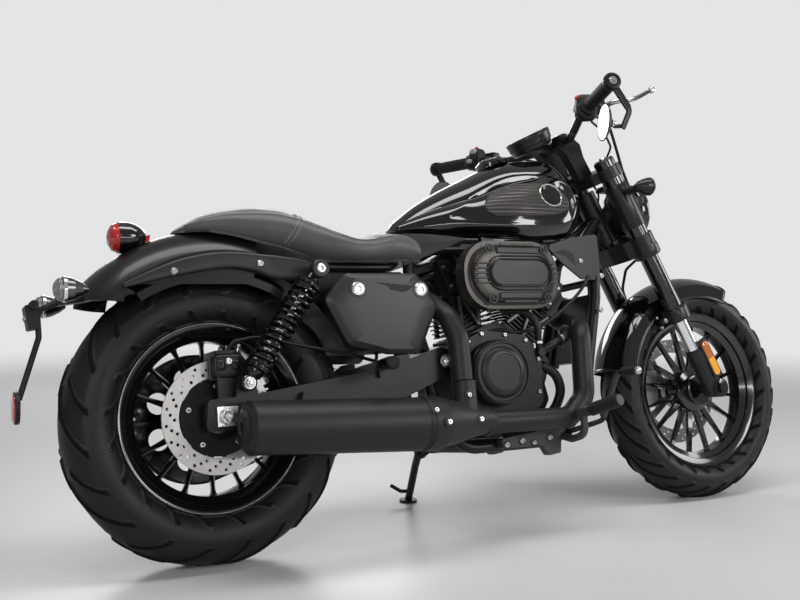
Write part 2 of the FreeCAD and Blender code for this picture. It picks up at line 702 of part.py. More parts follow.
filter_back = stadium(578, 838, 522, 680, -138, -150)
filter_case = stadium(572, 841, 519, 682, -150, -186)
filter_lid = stadium(602, 820, 540, 662, -186, -196)
filter_plate = stadium(638, 800, 574, 632, -196, -202)
filter_neck = slab([(700, 580), (776, 580), (776, 640), (700, 640)], -139, 16, 14)


def intake_run(bank, side):
    """Runner from the throttle body to the intake face of one head."""
    points = [bank_point(bank, PORT_ALONG, side * (FIN_HALF + 2 + out)) for out in (GAP, 16)]
    return rod([(x, 0, z) for x, z in points] + [(740, 0, 612)], 15, 20)


keep("air_cleaner", joined([filter_back, filter_case, filter_lid, filter_plate, filter_neck,
                            intake_run(REAR_BANK, 1), intake_run(FRONT_BANK, -1)]))

core = slab([(1040, 570), (1058, 566), (1006, 388), (988, 392)], -70, 70, 3)
tanks = [slab([(1034, 580), (1064, 574), (1010, 380), (980, 386)], y, y + 14, 3) for y in (-76, 62)]
tabs = [box(1032, 1042, y, y + 12, 570, 590 - GAP) for y in (-74, 62)]
keep("radiator", joined([core] + tanks + tabs))


def port_run(bank, port):
    """First two points of a header pipe, square to its cylinder head's port."""
    runs = [bank_point(bank, PORT_ALONG, port * (PORT_REACH + out)) for out in (GAP, 36)]
    return [(x, PORT_Y, z) for x, z in runs]


header_front = rod(port_run(FRONT_BANK, 1) + [(966, -92, 478), (922, -152, 462), (906, -165, 300),
                                              (850, -170, 252), (600, -176, 256)], PIPE_R, 55.0)
header_rear = rod(port_run(REAR_BANK, -1) + [(530, -88, 546), (544, -145, 505), (552, -168, 455),
                                             (550, -174, 330), (560, -180, 275)], PIPE_R, 50.0)
MUFFLER_TAIL = V(16, MUFFLER_Y, 284)
MUFFLER_ALONG = V(1, 0, -0.047).normalize()
MUFFLER_LENGTH = 404.0
muffler_front = MUFFLER_TAIL + MUFFLER_ALONG * (MUFFLER_LENGTH + GAP)
band = cylinder(muffler_front, muffler_front + MUFFLER_ALONG * 24, MUFFLER_R - 3)
collector = turned([(0, 0), (0, MUFFLER_R - 5), (178, 30), (190, 26), (190, 0)],
                   muffler_front + MUFFLER_ALONG * 12, (1, 0.13, -0.02))
keep("exhaust_pipes", joined([header_front, header_rear, band, collector]))
muffler = turned([(0, 0), (0, MUFFLER_R - 12), (8, MUFFLER_R - 4), (MUFFLER_LENGTH, MUFFLER_R),
                  (MUFFLER_LENGTH, 0)], MUFFLER_TAIL, MUFFLER_ALONG)
tip_hole = cylinder(MUFFLER_TAIL - MUFFLER_ALONG, MUFFLER_TAIL + MUFFLER_ALONG * 60, 24)
hanger = slab([(150, 300), (200, 300), (190, 352), (165, 352)], -AXLE_END - GAP, -AXLE_END - 20, 4)
keep("muffler", joined([muffler.cut(tip_hole), hanger]))


# ---------------------------------------------------------------- tank and seat

PANEL_T = 4.0
BADGE = (882.0, 816.0)
BADGE_R = 33.0
tank = tank_shape(0)
keep("fuel_tank", tank)
panel_outline = [(680, 762), (760, 742), (850, 744), (925, 780), (932, 815), (880, 852), (760, 816)]
panel_skin = tank_shape(PANEL_T).cut(tank_shape(GAP))
badge_skin = tank_shape(PANEL_T + 2).cut(tank_shape(PANEL_T - 1))
for side in SIDES:
    prism = slab(panel_outline, side * 60, side * 170, 22)
    badge_prism = cylinder((BADGE[0], side * 60, BADGE[1]), (BADGE[0], side * 170, BADGE[1]), BADGE_R)
    keep("tank_panels", joined([panel_skin.common(prism), badge_skin.common(badge_prism)]))
keep("fuel_cap", turned([(0, 0), (0, 40), (6, 40), (12, 34), (14, 0)], (800, 0, 922), (-0.24, 0, 1)))

SEAT_BASE = RAIL_Z + RAIL_R + GAP
# x, z of the bottom's sides and middle, of the widest point, of the crown's edge and of the top,
# then the half widths at bottom, widest point and edge
SEAT_SECTIONS = ((-58, 712, 718, 714, 719, 726, 40, 46, 34),
                 (0, 708, 727, 720, 740, 756, 76, 86, 62),
                 (54, 698, 727, 715, 752, 769, 84, 98, 70),
                 (118, 682, 722, 702, 755, 777, 88, 110, 78),
                 (160, 672, 700, 697, 752, 776, 92, 118, 84),
                 (200, 658, 668, 688, 742, 769, 94, 127, 92),
                 (244, SEAT_BASE, SEAT_BASE + 1, 674, 724, 751, 100, 136, 100),
                 (285, SEAT_BASE, SEAT_BASE + 1, 666, 704, 725, 106, 144, 110),
                 (335, SEAT_BASE, SEAT_BASE + 1, 664, 688, 702, 110, 149, 116),
                 (371, SEAT_BASE, SEAT_BASE + 1, 664, 690, 705, 110, 147, 114),
                 (420, SEAT_BASE, SEAT_BASE + 1, 669, 705, 723, 108, 138, 102),
                 (462, SEAT_BASE, SEAT_BASE + 1, 676, 708, 722, 106, 126, 88),
                 (496, SEAT_BASE, SEAT_BASE + 1, 674, 697, 706, 102, 116, 80),
                 (514, 645, 646, 660, 674, 682, 96, 104, 72))


def seat_section(x, low, middle, wide, edge, top, half_low, half_wide, half_edge):
    """Closed section of the seat: an arched bottom, two bulging sides and a crowned top."""
    corners = [V(x, -half_low, low), V(x, half_low, low), V(x, half_edge, edge), V(x, -half_edge, edge)]
    edges = [Part.Arc(corners[0], V(x, 0, middle), corners[1]).toShape(),
             Part.Arc(corners[1], V(x, half_wide, wide), corners[2]).toShape(),
             Part.Arc(corners[2], V(x, 0, top), corners[3]).toShape(),
             Part.Arc(corners[3], V(x, -half_wide, wide), corners[0]).toShape()]
    return Part.Wire(edges)


seat_wires = [seat_section(*row) for row in SEAT_SECTIONS]
# the frame's ties come up inside the nose
nose_room = slab([(404, 600), (404, 644), (432, 653), (466, 694), (530, 694), (530, 600)], -98.5, 98.5)
seat_body = Part.makeLoft(seat_wires, True, True).cut(nose_room)
keep("seat", seat_body)


# ---------------------------------------------------------------- covers and hidden boxes

COVER_Y = 150.0
COVER_T = 15.0
cover_outline = [(278, 607), (460, 607), (513, 538), (455, 422), (372, 424), (276, 450), (225, 550)]
cover_rim = [(290, 598), (454, 598), (500, 538), (447, 432), (376, 434), (306, 458), (254, 546)]
BOX_TOP = RAIL_Z - RAIL_TIE_R - GAP
BOX_LOW = 440.0
box_core = slab([(246, BOX_TOP), (468, BOX_TOP), (468, BOX_LOW), (322, BOX_LOW), (264, 524)], -74, 74, 6)
posts = []
for side in SIDES:
    base = slab(cover_outline, side * COVER_Y, side * (COVER_Y + 8), 20)
    crown = slab(cover_rim, side * (COVER_Y + 8), side * (COVER_Y + COVER_T), 18)
    keep("side_covers", joined([base, crown]))
    for x in (350, 464):
        posts.append(cylinder((x, side * 70, 568), (x, side * (COVER_Y - GAP), 568), 7))
keep("battery_box", joined([box_core] + posts))

NECK_Y = 103.0
neck_outline = [(874, 688), (958, 712), (1040, 722), (1040, 640), (1022, 600), (978, 603), (912, 650)]
for side in SIDES:
    cover = slab(neck_outline, side * NECK_Y, side * (NECK_Y + 7), 8)
    post = cylinder((965, side * (SPINE_Y + TUBE_R + GAP), 697), (965, side * (NECK_Y + 1), 697), 8)
    keep("neck_covers", joined([cover, post]))


# ---------------------------------------------------------------- rear fender, struts and lamps


def arch_section(radius, half, shoulder, depth, wall):
    """Edges in (y, r) of a fender's section: crowned top and straight skirts."""
    low = radius - depth
    inner_half = half - wall
    inner_top = radius - wall
    inner_edge = radius - shoulder - wall
    return [((-half, low), (-half, radius - shoulder)),
            ((-half, radius - shoulder), (0, radius), (half, radius - shoulder)),
            ((half, radius - shoulder), (half, low)),
            ((half, low), (inner_half, low)),
            ((inner_half, low), (inner_half, inner_edge)),
            ((inner_half, inner_edge), (0, inner_top), (-inner_half, inner_edge)),
            ((-inner_half, inner_edge), (-inner_half, low)),
            ((-inner_half, low), (-half, low))]


def crown_section(radius, half, shoulder):
    """Edges in (y, r) of the full round under a fender's crown."""
    return [((-half, radius - shoulder), (0, radius), (half, radius - shoulder)),
            ((half, radius - shoulder), (half, radius / 2)),
            ((half, radius / 2), (-half, radius / 2)),
            ((-half, radius / 2), (-half, radius - shoulder))]


def wedge(centre, low, high, reach, half):
    """Pie-shaped block about a wheel axis between two angles from straight ahead, in degrees."""
    steps = 6
    points = [centre]
    for index in range(steps + 1):
        angle = math.radians(low + (high - low) * index / steps)
        points.append((centre[0] + reach * math.cos(angle), centre[1] + reach * math.sin(angle)))
    return slab(points, -half, half)


FENDER_LOW = 592.0
rear_arch = section_ring(arch_section(REAR_FENDER_R, REAR_FENDER_HALF, 58, 170, FENDER_WALL), *REAR_FENDER_C)
rear_arch = rear_arch.common(wedge(REAR_FENDER_C, 78, 148, 600, 200))
fender_field = slab([(-262, FENDER_LOW - 30), (-190, FENDER_LOW - 36), (-182, FENDER_LOW), (400, FENDER_LOW),
                     (400, 900), (-262, 900)], -200, 200)
# splash guard close round the tyre, welded inside the fender's skirts
guard = section_ring(arch_section(REAR_TYRE_R + 28, REAR_FENDER_HALF - 1, 30, 48, FENDER_WALL), *AXLE_XZ)
guard = guard.common(wedge(AXLE_XZ, 59, 122, 600, 200))
keep("rear_fender", joined([rear_arch.common(fender_field), guard]))

strut_outline = [(234, 638), (200, 644), (120, 654), (24, 662), (-60, 648), (-130, 622), (-188, 594), (-182, 582),
                 (-96, 604), (22, 624), (130, 612), (200, 594), (236, 598)]
for side in SIDES:
    inner = side * (REAR_FENDER_HALF + GAP)
    strut = slab(strut_outline, inner, inner + side * STRUT_T, 14)
    stud = cylinder((SHOCK_TOP[0], inner, SHOCK_TOP[1]),
                    (SHOCK_TOP[0], side * (SHOCK_Y - 11 - GAP), SHOCK_TOP[1]), 12)
    keep("fender_struts", joined([strut, stud]))

def on_crown(angle, proud):
    """Point (x, z) over the rear fender's crown, at an angle in degrees from straight ahead."""
    turn = math.radians(angle)
    reach = REAR_FENDER_R + proud
    return (REAR_FENDER_C[0] + reach * math.cos(turn), REAR_FENDER_C[1] + reach * math.sin(turn))


def stepped(start, steps):
    """Points (x, z) at the given steps from a starting point."""
    return [(start[0] + dx, start[1] + dz) for dx, dz in steps]


TAIL_LAMP = on_crown(111.5, 9.5)
tail_at = (TAIL_LAMP[0], 0, TAIL_LAMP[1])
tail_body = turned([(0, 0), (0, 14), (14, 26), (34, 33), (56, 33), (56, 0)], tail_at, (-1, 0, 0))
tail_lens = turned([(56, 0), (56, 32), (70, 28), (77, 16), (79, 0)], tail_at, (-1, 0, 0))
tail_foot = slab(stepped(TAIL_LAMP, [(10, 6), (-40, -6), (-40, -46), (4, -26)]), -12, 12)
crown = section_ring(crown_section(REAR_FENDER_R + GAP, REAR_FENDER_HALF, 58), *REAR_FENDER_C)
keep("tail_light", joined([tail_body, tail_lens, tail_foot]).cut(crown))

CARRIER = on_crown(136.6, -14.5)
arm_route = stepped(CARRIER, [(0, 0), (-50, -22), (-94, -38), (-92, -94), (-133, -218)])
carrier_arm = rod([(x, 0, z) for x, z in arm_route], 6, 20)
carrier_plate = slab(stepped(CARRIER, [(-121, -30), (-96, -26), (-91, -76), (-113.5, -80)]), -20, 20, 4)
bar_x, bar_z = CARRIER[0] - 50, CARRIER[1] - 14
lamp_bar = cylinder((bar_x, -112, bar_z), (bar_x, 112, bar_z), 7)
carrier_stub = slab(stepped(CARRIER, [(14, -20), (-56, -30), (-56, -6), (0, -2), (14, -2)]), -14, 14, 4)
carrier_root = slab(stepped(CARRIER, [(50, 50), (0, 50), (-12, -2), (-12, -18), (20, -18)]), -14, 14).common(
    cylinder((REAR_FENDER_C[0], -14, REAR_FENDER_C[1]), (REAR_FENDER_C[0], 14, REAR_FENDER_C[1]),
             REAR_FENDER_R - FENDER_WALL - 2))
reflector_x, reflector_z = CARRIER[0] - 134, CARRIER[1] - 234
reflector = turned([(0, 0), (0, 33), (8, 33), (11, 28), (12, 0)], (reflector_x, 0, reflector_z), (-1, 0, 0))
reflector_stem = cylinder((reflector_x - 3, 0, reflector_z + 23), (reflector_x - 1, 0, reflector_z + 6), 6)
keep("plate_bracket", joined([carrier_arm, carrier_plate, lamp_bar, carrier_stub, carrier_root, reflector,
                              reflector_stem]))
for side in SIDES:
    keep("rear_indicators", turned([(0, 0), (0, 4), (12, 13), (28, 21), (44, 25), (48, 25), (57, 21), (64, 10),
                                    (66, 0)], (bar_x + 34, side * (112 + GAP + 23.3), bar_z), (-1, 0, 0)))


# ---------------------------------------------------------------- rider and passenger controls

for side in SIDES:
    y = side * (CRADLE_Y + TUBE_R + GAP)
    plate = slab([(672, 214), (800, 226), (872, 234), (880, 206), (846, 198), (842, 168), (806, 164),
                  (790, 190), (672, 190)], y, y + side * 22, 5)
    hanger = rod([(852, side * 124, 210), (856, side * 166, 200), (862, side * 211, 210),
                  (862, side * 211, 262)], 9, 24)
    peg = rod([(860, side * 200, 262), (868, side * 240, 268), (884, side * 322, 287)], 13, 60)
    keep("rider_pegs", joined([plate, hanger, peg]))
    pedal = rod([(868, y + side * (22 + GAP), 219), (868, side * 152, 219), (930, side * 200, 240),
                 (946, side * 238, 340), (950, side * 250, 352), (956, side * 312, 353)], 6.5, 20)
    keep("foot_controls", pedal)
    peg_base = slab([(352, 372), (432, 398), (430, 424), (396, 420), (352, 396)],
                    side * (AXLE_END + GAP), side * (AXLE_END + 12), 6)
    rear_peg = rod([(396, side * (AXLE_END + 6), 406), (372, side * 178, 402), (330, side * 262, 400)], 11, 14)
    keep("passenger_pegs", joined([peg_base, rear_peg]))

# Calipers: blocks that straddle their discs, held by the swingarm and by the left fork leg.


def caliper(centre, disc_y, size, wheel, disc_r):
    """Brake caliper with a slot for its disc, built about a centre (x, z)."""
    half_x, half_y, half_z = size
    body = box(centre[0] - half_x, centre[0] + half_x, disc_y - half_y, disc_y + half_y,
               centre[1] - half_z, centre[1] + half_z)
    slot = cylinder((wheel[0], disc_y - DISC_T / 2 - PAD_GAP, wheel[1]),
                    (wheel[0], disc_y + DISC_T / 2 + PAD_GAP, wheel[1]), disc_r + 4)
    return body.cut(slot)


CALIPER_UP = REAR_DISC_R - 14.0    # above the rear axle
rear_block = caliper((16, REAR_TYRE_R + CALIPER_UP), REAR_DISC_Y, (34, 22, 30), AXLE_XZ, REAR_DISC_R)
caliper_arm = slab(stepped(AXLE_XZ, [(-8, 32), (60, 38), (76, 92), (44, CALIPER_UP + 24), (-10, CALIPER_UP + 20)]),
                   REAR_DISC_Y - 22, -ARM_IN + GAP, 6)
hose_top = REAR_TYRE_R + CALIPER_UP + 29
# the brake hose runs over the swingarm and up under the battery box
rear_hose = rod([(22, -92, hose_top), (32, -96, hose_top + 22), (80, -104, hose_top + 30), (150, -106, 462),
                 (240, -104, 444), (320, -96, 428), (388, -68, 414), (390, -66, BOX_LOW - 2 * GAP)], 4, 40)
keep("rear_caliper", joined([rear_block, caliper_arm, rear_hose]))


# ---------------------------------------------------------------- fork, clamps and front axle


def clamp_outline(reach):
    """Outline seen down the steering axis of a clamp that joins both fork tubes and the stem."""
    return [(FORK_AHEAD + reach, -FORK_Y), (FORK_AHEAD + reach, FORK_Y), (FORK_AHEAD - 10, FORK_Y + reach),
            (-18, FORK_Y - 20), (-30, 24), (-30, -24), (-18, -FORK_Y + 20), (FORK_AHEAD - 10, -FORK_Y - reach)]


def clamp(low, high, reach, hole):
    """Triple clamp plate with its two fork holes."""
    corners = [V(x, y, low) for x, y in clamp_outline(reach)]
    plate = Part.Face(Part.makePolygon(corners + corners[:1])).extrude(V(0, 0, high - low))
    bosses = [Part.makeCylinder(reach + 4, high - low, V(FORK_AHEAD, side * FORK_Y, low)) for side in SIDES]
    drills = [Part.makeCylinder(hole, high - low + 2, V(FORK_AHEAD, side * FORK_Y, low - 1)) for side in SIDES]
    return joined([plate] + bosses).cut(Part.makeCompound(drills))


clamps = [clamp(*LOWER_CLAMP, FORK_UPPER_R + 3, FORK_UPPER_R + GAP),
          clamp(*UPPER_CLAMP, FORK_UPPER_R + 3, FORK_UPPER_R + GAP),
          Part.makeCylinder(STEM_R, UPPER_CLAMP[1] - LOWER_CLAMP[0], V(0, 0, LOWER_CLAMP[0])),
          Part.makeCylinder(20, 12, V(0, 0, UPPER_CLAMP[1] - 1))]
keep("triple_clamps", on_fork(joined(clamps)))

for side in SIDES:
    y = side * FORK_Y
    tube = turned([(TUBE_END, 0), (TUBE_END, FORK_LOWER_R + 2), (TUBE_END + 26, FORK_LOWER_R + 2),
                   (TUBE_END + 30, FORK_LOWER_R), (LOWER_CLAMP[0] - 14, FORK_LOWER_R),
                   (LOWER_CLAMP[0] - 8, FORK_UPPER_R), (FORK_TOP, FORK_UPPER_R), (FORK_TOP, 0)],
                  (FORK_AHEAD, y, 0), (0, 0, 1))
    slider = Part.makeCylinder(FORK_SLIDER_R, TUBE_END - LUG_TOP + 10, V(FORK_AHEAD, y, LUG_TOP - 9))
    keep("fork_tubes", on_fork(joined([tube, slider])))
    lug = turned([(-6, 0), (-6, 21), (96, LUG_R), (LUG_TOP, LUG_R), (LUG_TOP, FORK_SLIDER_R + GAP),
                  (LUG_TOP - 10, FORK_SLIDER_R + GAP), (LUG_TOP - 10, 0)], (FORK_AHEAD, y, 0), (0, 0, 1))
    foot = Part.makeCylinder(26, 2 * FOOT_HALF, V(AXLE_AHEAD, y - FOOT_HALF, 0), Y_AXIS)
    reflex = Part.makeBox(34, 4, 118, V(FORK_AHEAD + 6, y + side * 21 - 2, 28))
    keep("fork_legs", on_fork(joined([lug, foot, reflex]).cut(
        Part.makeCylinder(AXLE_R + GAP, 60, V(AXLE_AHEAD, y - 30, 0), Y_AXIS))))
AXLE_HALF = FORK_Y + 32
front_bar = cylinder((WHEELBASE, -AXLE_HALF, FRONT_TYRE_R), (WHEELBASE, AXLE_HALF, FRONT_TYRE_R), AXLE_R)
axle_ends = [cylinder((WHEELBASE, side * (FORK_Y + FOOT_HALF + GAP), FRONT_TYRE_R),
                      (WHEELBASE, side * (AXLE_HALF + 2), FRONT_TYRE_R), 14) for side in SIDES]
spacers = [cylinder((WHEELBASE, side * (FORK_Y - FOOT_HALF - GAP), FRONT_TYRE_R),
                    (WHEELBASE, side * (FRONT_HUB_HALF + 3), FRONT_TYRE_R), AXLE_R + 4) for side in SIDES]
keep("front_axle", joined([front_bar] + axle_ends + spacers))

CALIPER_C = fork_point(-62, 0, 62)
front_block = caliper((CALIPER_C[0], CALIPER_C[2]), FRONT_DISC_Y, (34, 26, 52),
                      (WHEELBASE, FRONT_TYRE_R), FRONT_DISC_R)
front_ear = on_fork(Part.makeBox(74, 12, 60, V(FORK_AHEAD - 74, FRONT_DISC_Y + 14, 36)).cut(
    Part.makeCylinder(LUG_R + GAP, 200, V(FORK_AHEAD, FORK_Y, 0))))
keep("front_caliper", joined([front_block, front_ear]))

front_arch = section_ring(arch_section(FRONT_FENDER_R, FRONT_FENDER_HALF, 26, 62, FENDER_WALL),
                          WHEELBASE, FRONT_TYRE_R)
front_arch = front_arch.common(wedge((WHEELBASE, FRONT_TYRE_R), 68, 168, 500, 200))
stays = []
for side in SIDES:
    near = side * (FRONT_FENDER_HALF - 2)
    far = side * (FORK_Y - FORK_LOWER_R - 2 - GAP)
    stay = Part.makeBox(74, abs(far - near), 50, V(-24, min(near, far), TUBE_END - 16))
    stays.append(on_fork(stay))
keep("front_fender", joined([front_arch] + stays))


# ---------------------------------------------------------------- lamps and dials at the head

LAMP_C = (1191.0, 805.0)
LAMP_R = 80.0
BOWL_R = 61.0             # fits between the fork tubes
BOWL_BACK = -14.0
LAMP_FACE = 64.0
lamp_bowl = turned([(BOWL_BACK, 0), (BOWL_BACK, 24), (-4, 47), (10, BOWL_R), (39, BOWL_R), (44, LAMP_R - 3),
                    (48, LAMP_R), (LAMP_FACE, LAMP_R), (LAMP_FACE, 0)],
                   (LAMP_C[0], 0, LAMP_C[1]), (1, 0, 0))
lamp_lens = turned([(LAMP_FACE + GAP, 0), (LAMP_FACE + GAP, LAMP_R - 5), (LAMP_FACE + 6, LAMP_R - 8),
                    (LAMP_FACE + 12, 50), (LAMP_FACE + 15, 0)],
                   (LAMP_C[0], 0, LAMP_C[1]), (1, 0, 0))
ears = []
for side in SIDES:
    ear = slab([(1166, 778), (1172, 842), (1250, 826), (1250, 790)], side * 74, side * 79, 6)
    bore = Part.makeCylinder(FORK_UPPER_R + GAP, FORK_TOP, V(FORK_AHEAD, side * FORK_Y, 0))
    ears.append(ear.cut(on_fork(bore)))
keep("headlight", joined([lamp_bowl] + ears))
keep("headlight_lens", lamp_lens)

for side in SIDES:
    stalk_from = fork_point(24, side * (FORK_Y + FORK_UPPER_R - 2), 606)
    stalk_to = (stalk_from[0], side * 186, stalk_from[2])
    stalk = cylinder((stalk_from[0], side * (FORK_Y + FORK_UPPER_R + GAP), stalk_from[2]), stalk_to, 7)
    lamp = turned([(-28, 0), (-28, 4), (-15, 13), (2, 20), (16, 23), (22, 23), (27, 18), (30, 8), (31, 0)],
                  (stalk_from[0], side * 198, stalk_from[2]), (1, 0, 0))
    keep("front_indicators", joined([stalk, lamp]))

BAR_CENTRE = (1005.0, 988.0)
DIAL = (932.0, 992.0)
dial = turned([(-20, 0), (-20, 38), (-8, 56), (12, 60), (18, 56), (18, 0)], (DIAL[0], 0, DIAL[1]),
              (-0.42, 0, 0.91))
dial_arm = slab([(950, 972), (1004, 968), (1004, 984), (956, 992)], -14, 14)
keep("speedometer", joined([dial, dial_arm]).cut(
    cross_tube(BAR_CENTRE[0], BAR_CENTRE[1], 60, BAR_R + GAP)))


# ---------------------------------------------------------------- handlebar and what it carries


def bar_route(side):
    """Corner points of one half of the handlebar."""
    return [(BAR_CENTRE[0], 0, BAR_CENTRE[1]), (BAR_CENTRE[0], side * 84, BAR_CENTRE[1]),
            (962, side * 152, 984), (930, side * 226, 1004), (878, side * BAR_END_Y, BAR_END_Z)]


def on_bar(side, reach, lift=0.0, ahead=0.0):
    """Point on the outer run of the bar at a sideways distance."""
    start = bar_route(side)[-2]
    end = bar_route(side)[-1]
    share = (reach - abs(start[1])) / (abs(end[1]) - abs(start[1]))
    return (start[0] + share * (end[0] - start[0]) + ahead, side * reach,
            start[2] + share * (end[2] - start[2]) + lift)


bar = joined([rod(bar_route(side), BAR_R, 45.0) for side in SIDES])
keep("handlebar", bar)
for side in SIDES:
    base_back, base_front = [fork_point(ahead, 0, UPPER_CLAMP[1] + GAP) for ahead in (-34, 12)]
    riser = slab([(base_back[0], base_back[2]), (base_front[0], base_front[2]), (BAR_CENTRE[0] + 61, 946),
                  (BAR_CENTRE[0] + 52, 982), (BAR_CENTRE[0] + 15, BAR_CENTRE[1] + 21),
                  (BAR_CENTRE[0] - 20, BAR_CENTRE[1] + 12), (BAR_CENTRE[0] - 22, BAR_CENTRE[1] - 18),
                  (BAR_CENTRE[0] + 4, 948)], side * 28, side * 56)
    cap = cylinder((BAR_CENTRE[0], side * 42 - 16, BAR_CENTRE[1]), (BAR_CENTRE[0], side * 42 + 16, BAR_CENTRE[1]),
                   BAR_R + 9)
    eye = cylinder((BAR_CENTRE[0], side * 42 - 20, BAR_CENTRE[1]), (BAR_CENTRE[0], side * 42 + 20, BAR_CENTRE[1]),
                   BAR_R + GAP)
    keep("bar_risers", joined([riser, cap]).cut(eye))
    keep("grips", sleeve(on_bar(side, 274), on_bar(side, BAR_END_Y - 1), GRIP_R, BAR_R + GAP))
    keep("switchgear", sleeve(on_bar(side, 236), on_bar(side, 270), 23, BAR_R + GAP))
    pivot = on_bar(side, 248, 2, 44)
    bracket = slab([(pivot[0] - 40, 990), (pivot[0] + 18, 1000), (pivot[0] + 18, 1018),
                    (pivot[0] - 40, 1020)], side * 238, side * 262, 4)
    bracket = bracket.cut(cylinder(on_bar(side, 200), on_bar(side, 300), 23 + GAP))
    lever = rod([(pivot[0] + 6, side * 250, 1008), (pivot[0] + 34, side * 300, 1014),
                 (1030, side * 398, 1033)], 6, 30)
    keep("hand_levers", joined([bracket, lever]))
    arm_start = on_bar(side, BAR_END_Y + 2)
    mirror_arm = rod([arm_start, (arm_start[0] + 2, side * 424, arm_start[2] - 6), (918, side * 422, 975),
                      (904, side * 396, 940), (881, side * 382, 930)], 5, 18)
    mirror_head = turned([(-7, 0), (-6, 14), (-3, 30), (1, MIRROR_R - 3), (3, MIRROR_R), (5, MIRROR_R), (5, 0)],
                         (873, side * 378, 931), (-0.98, -side * 0.16, 0.1))
    keep("mirrors", joined([mirror_arm, mirror_head]))

# Brake hose, throttle and clutch lines, each held at both ends.
HOSE_R = 4.0
perch_x = on_bar(1, 248)[0] + 44
brake_hose = rod([(perch_x, -238 + GAP, 1008), (perch_x + 8, -214, 1010), (1050, -186, 1002),
                  fork_point(74, -118, 730), fork_point(72, -104, 660), fork_point(70, -100, 600),
                  fork_point(72, -98, 520), fork_point(72, -80, 470), fork_point(70, -30, 415),
                  fork_point(66, 50, 385),
                  fork_point(62, 96, 330), fork_point(63, 112, 240), fork_point(44, 132, 150),
                  fork_point(0, 130, 112), fork_point(-48, 112, 84), fork_point(-50, 88 + GAP, 80)],
                 HOSE_R, 45.0)
throttle = rod([(perch_x - 10, -238 + GAP, 998), (perch_x, -214, 992), (1046, -172, 980),
                fork_point(78, -96, 728), fork_point(80, -40, 690), fork_point(76, -22, 620),
                (1160, -14, 832), (LAMP_C[0] + BOWL_BACK - 2.5, -10, 812)], 3.0, 40.0)
clutch = rod([(perch_x, 238 - GAP, 1008), (perch_x + 8, 214, 1010), (1050, 186, 1002),
              fork_point(76, 110, 728), fork_point(78, 48, 690), fork_point(76, 24, 620),
              (1160, 14, 832), (LAMP_C[0] + BOWL_BACK - 2.5, 10, 812)], 3.0, 40.0)
keep("control_lines", brake_hose, throttle, clutch)


# ---------------------------------------------------------------- side stand

leg_foot = STAND_TOE + FLOOR_UP * 3
leg = rod([tuple(STAND_AT), tuple(STAND_AT + (leg_foot - STAND_AT) * 0.35 + STAND_BOW), tuple(leg_foot)],
          STAND_R, 90.0)
head = cylinder(STAND_AT - STAND_AXIS * (STAND_HEAD / 2), STAND_AT + STAND_AXIS * (STAND_HEAD / 2), STAND_HEAD_R)
pin_bore = cylinder(STAND_AT - STAND_AXIS * 40, STAND_AT + STAND_AXIS * 40, STAND_PIN_R + PIN_GAP)
stand_pad = Part.makeCylinder(24, 7, STAND_TOE, FLOOR_UP)
tang_root = leg_foot + (STAND_AT - leg_foot) * 0.2
stand_tang = rod([tuple(tang_root), tuple(tang_root + V(-20, 18, 0)), tuple(tang_root + V(-44, 30, 18))], 5, 12)
keep("side_stand", joined([leg, stand_pad, head, stand_tang]).cut(pin_bore))


# ---------------------------------------------------------------- lean over and write

ORIGIN_X = (WHEELBASE + FRONT_TYRE_R - TAIL_REACH) / 2
ORIGIN_Y = BAR_END_Z * math.sin(LEAN_RAD)


def parked(shape):
    """Shape leaned onto the side stand and moved to the part's own origin."""
    moved = shape.copy()
    moved.rotate(V(0, 0, 0), V(1, 0, 0), -LEAN)
    moved.translate(V(-ORIGIN_X, -ORIGIN_Y, LIFT))
    return moved


def parked_point(point):
    """Point of the upright bike, in metres in the part's own frame."""
    moved = FreeCAD.Rotation(V(1, 0, 0), -LEAN).multVec(point) + V(-ORIGIN_X, -ORIGIN_Y, LIFT)
    return [round(value / 1000, 6) for value in moved]


def parked_way(along):
    """Direction on the upright bike, in the part's own frame."""
    return [round(value, 6) for value in FreeCAD.Rotation(V(1, 0, 0), -LEAN).multVec(along)]


print("rear axle", parked_point(V(0, 0, REAR_TYRE_R)), "front axle", parked_point(FRONT_AXLE),
      "axle way", parked_way(Y_AXIS))
print("steering", parked_point(STEER_FOOT + UP_FORK * HEAD_LOW), "way", parked_way(UP_FORK))
print("stand", parked_point(STAND_AT), "way", parked_way(STAND_AXIS), "swing", round(STAND_SWING, 2))
os.makedirs("parts", exist_ok=True)
for name, solids in NODES.items():
    whole = Part.makeCompound([parked(solid) for solid in solids])
    whole.exportStep("parts/" + name + ".step")
    print(name, len(whole.Solids), "solids", round(whole.Volume / 1000), "cm3", "valid", whole.isValid())
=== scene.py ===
"""Looks of a black cruiser motorcycle that leans on its side stand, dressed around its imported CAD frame.

Pieces are worked out on the upright bike in millimetres, x forward from the rear axle, y to the rider's
left and z up from the floor, and parked() leans them over and turns them into metres of the frame.
"""
import json
import math
import bpy
import numpy as np
from mathutils import Matrix, Vector


